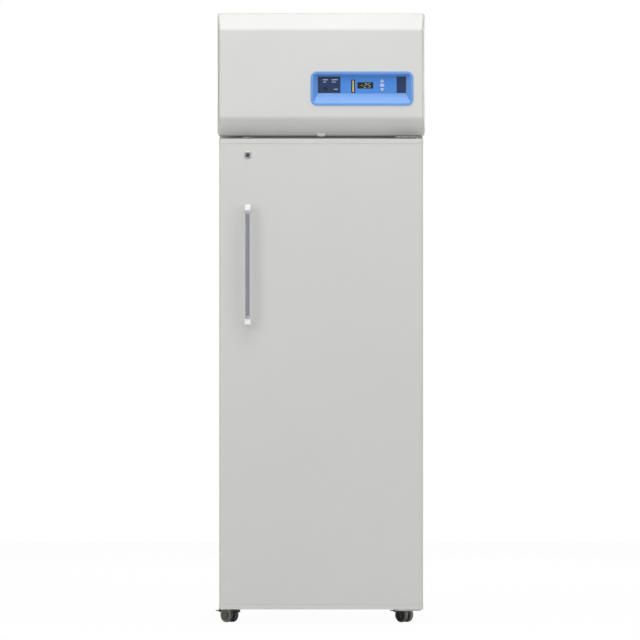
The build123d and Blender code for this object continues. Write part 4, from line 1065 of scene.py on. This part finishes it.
def makeScrews():
    shape = bmesh.new()
    low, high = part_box("rear_grille")
    side, end = screws["grille"]
    for z in (low.z + end, (low.z + high.z) / 2, high.z - end):
        for x in (low.x + side, high.x - side):
            addScrew(shape, (x, high.y, z), (0, 1, 0))
    low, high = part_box("machine_side_panels")
    end, up = screws["panels"]
    for y in (low.y + end, (low.y + high.y) / 2, high.y - end):
        for out, x in ((-1, low.x), (1, high.x)):
            addScrew(shape, (x, y, low.z + up), (out, 0, 0))
    low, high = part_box("evaporator_cover")
    side, end = screws["cover"]
    for y in (low.y + end, high.y - end):
        for x in (low.x + side, high.x - side):
            addScrew(shape, (x, y, low.z), (0, 0, -1))
    newPiece("cabinetScrews", meshFrom(shape, "cabinetScrews"), platedSteel, "cabinet")


makeScrews()
print("screws made")


# refrigerant lines: bent copper tube and the spun filter drier

lines = {
    "radius": 0.004,
    "bend": 0.014,
    "routes": [
        [(0.106, 0.200, 1.682), (0.058, 0.200, 1.682), (0.058, -0.255, 1.682), (0.024, -0.255, 1.682)],
        [(0.024, -0.295, 1.782), (0.058, -0.295, 1.782), (0.058, -0.295, 1.744)],
        [(0.058, -0.295, 1.600), (0.058, -0.295, 1.638)],
        [(0.192, 0.080, 1.600), (0.192, 0.080, 1.682), (0.192, 0.130, 1.682)],
    ],
    "drier": (0.058, -0.295, 1.636),
    "drierRadius": 0.012,
    "drierLength": 0.110,
    "drierNeck": ((1.1, 0.0002), (1.3, 0.006)),   # share of the tube's radius, place from the end
    "drierEnd": ((0.7, 0.013), (0.96, 0.019), (1, 0.026)),   # the same for the drier's radius
}


def bentPath(points, bend, steps=7):
    spots = [Vector(spot) for spot in points]
    path = [spots[0]]
    for before, corner, after in zip(spots, spots[1:], spots[2:]):
        toward, away = (before - corner).normalized(), (after - corner).normalized()
        reach = min(bend, (before - corner).length * 0.45, (after - corner).length * 0.45)
        middle = corner + (toward + away) * reach
        for step in range(steps + 1):
            angle = math.pi / 2 * step / steps
            path.append(middle - away * reach * math.cos(angle) - toward * reach * math.sin(angle))
    path.append(spots[-1])
    return path


def addTube(shape, points, radius, bend, sides=20):
    path = bentPath(points, bend)
    ahead = (path[1] - path[0]).normalized()
    out = ahead.orthogonal().normalized()
    rings = []
    for step, spot in enumerate(path):
        before, after = path[max(step - 1, 0)], path[min(step + 1, len(path) - 1)]
        ahead = (after - before).normalized()
        out = (out - ahead * out.dot(ahead)).normalized()
        across = ahead.cross(out)
        rings.append([shape.verts.new(spot + out * radius * math.cos(2 * math.pi * k / sides)
                                      + across * radius * math.sin(2 * math.pi * k / sides))
                      for k in range(sides)])
    for near, far in zip(rings, rings[1:]):
        for k in range(sides):
            after = (k + 1) % sides
            shape.faces.new((near[k], near[after], far[after], far[k]))
    shape.faces.new(rings[0])
    shape.faces.new(rings[-1])


def makeLines():
    shape = bmesh.new()
    for route in lines["routes"]:
        addTube(shape, route, lines["radius"], lines["bend"])
    length = lines["drierLength"]
    near = [(lines["radius"] * share, place) for share, place in lines["drierNeck"]]
    near += [(lines["drierRadius"] * share, place) for share, place in lines["drierEnd"]]
    far = [(radius, length - place) for radius, place in reversed(near)]
    turned(shape, [(0, 0)] + near + far + [(0, length)], lines["drier"], (0, 0, 1), 32)
    newPiece("copperLines", meshFrom(shape, "copperLines", 50), copper, "cabinet",
             ["refrigerant_lines"])


makeLines()
print("refrigerant lines made")


# fan guard under the evaporator cover's opening

guard = {
    "wire": 0.0011,
    "rings": (0.022, 0.040, 0.058, 0.076, 0.088),
    "spokes": 6,
    "spokeStart": 0.012,     # from the middle
    "spokeShort": 0.010,     # how much shorter a spoke is than the last ring's radius
    "spokeTip": 0.0002,
    "drop": 0.0016,
}


def makeGuard():
    low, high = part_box("evaporator_fan")
    centre = Vector(((low.x + high.x) / 2, (low.y + high.y) / 2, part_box("evaporator_cover")[0].z))
    centre.z -= guard["drop"]
    wire = guard["wire"]
    shape = bmesh.new()
    for radius in guard["rings"]:
        turned(shape, [(radius + wire * math.cos(math.pi * k / 4), wire * math.sin(math.pi * k / 4))
                       for k in range(9)], centre, (0, 0, 1), 64)
    length, tip = guard["rings"][-1] - guard["spokeShort"], guard["spokeTip"]
    for spoke in range(guard["spokes"]):
        angle = 2 * math.pi * spoke / guard["spokes"]
        way = Vector((math.cos(angle), math.sin(angle), 0))
        turned(shape, [(0, 0), (wire, tip), (wire, length), (0, length + tip)],
               centre + way * guard["spokeStart"], way, 8)
    newPiece("fanGuard", meshFrom(shape, "fanGuard", 60), platedSteel, "cabinet")


makeGuard()
print("fan guard made")
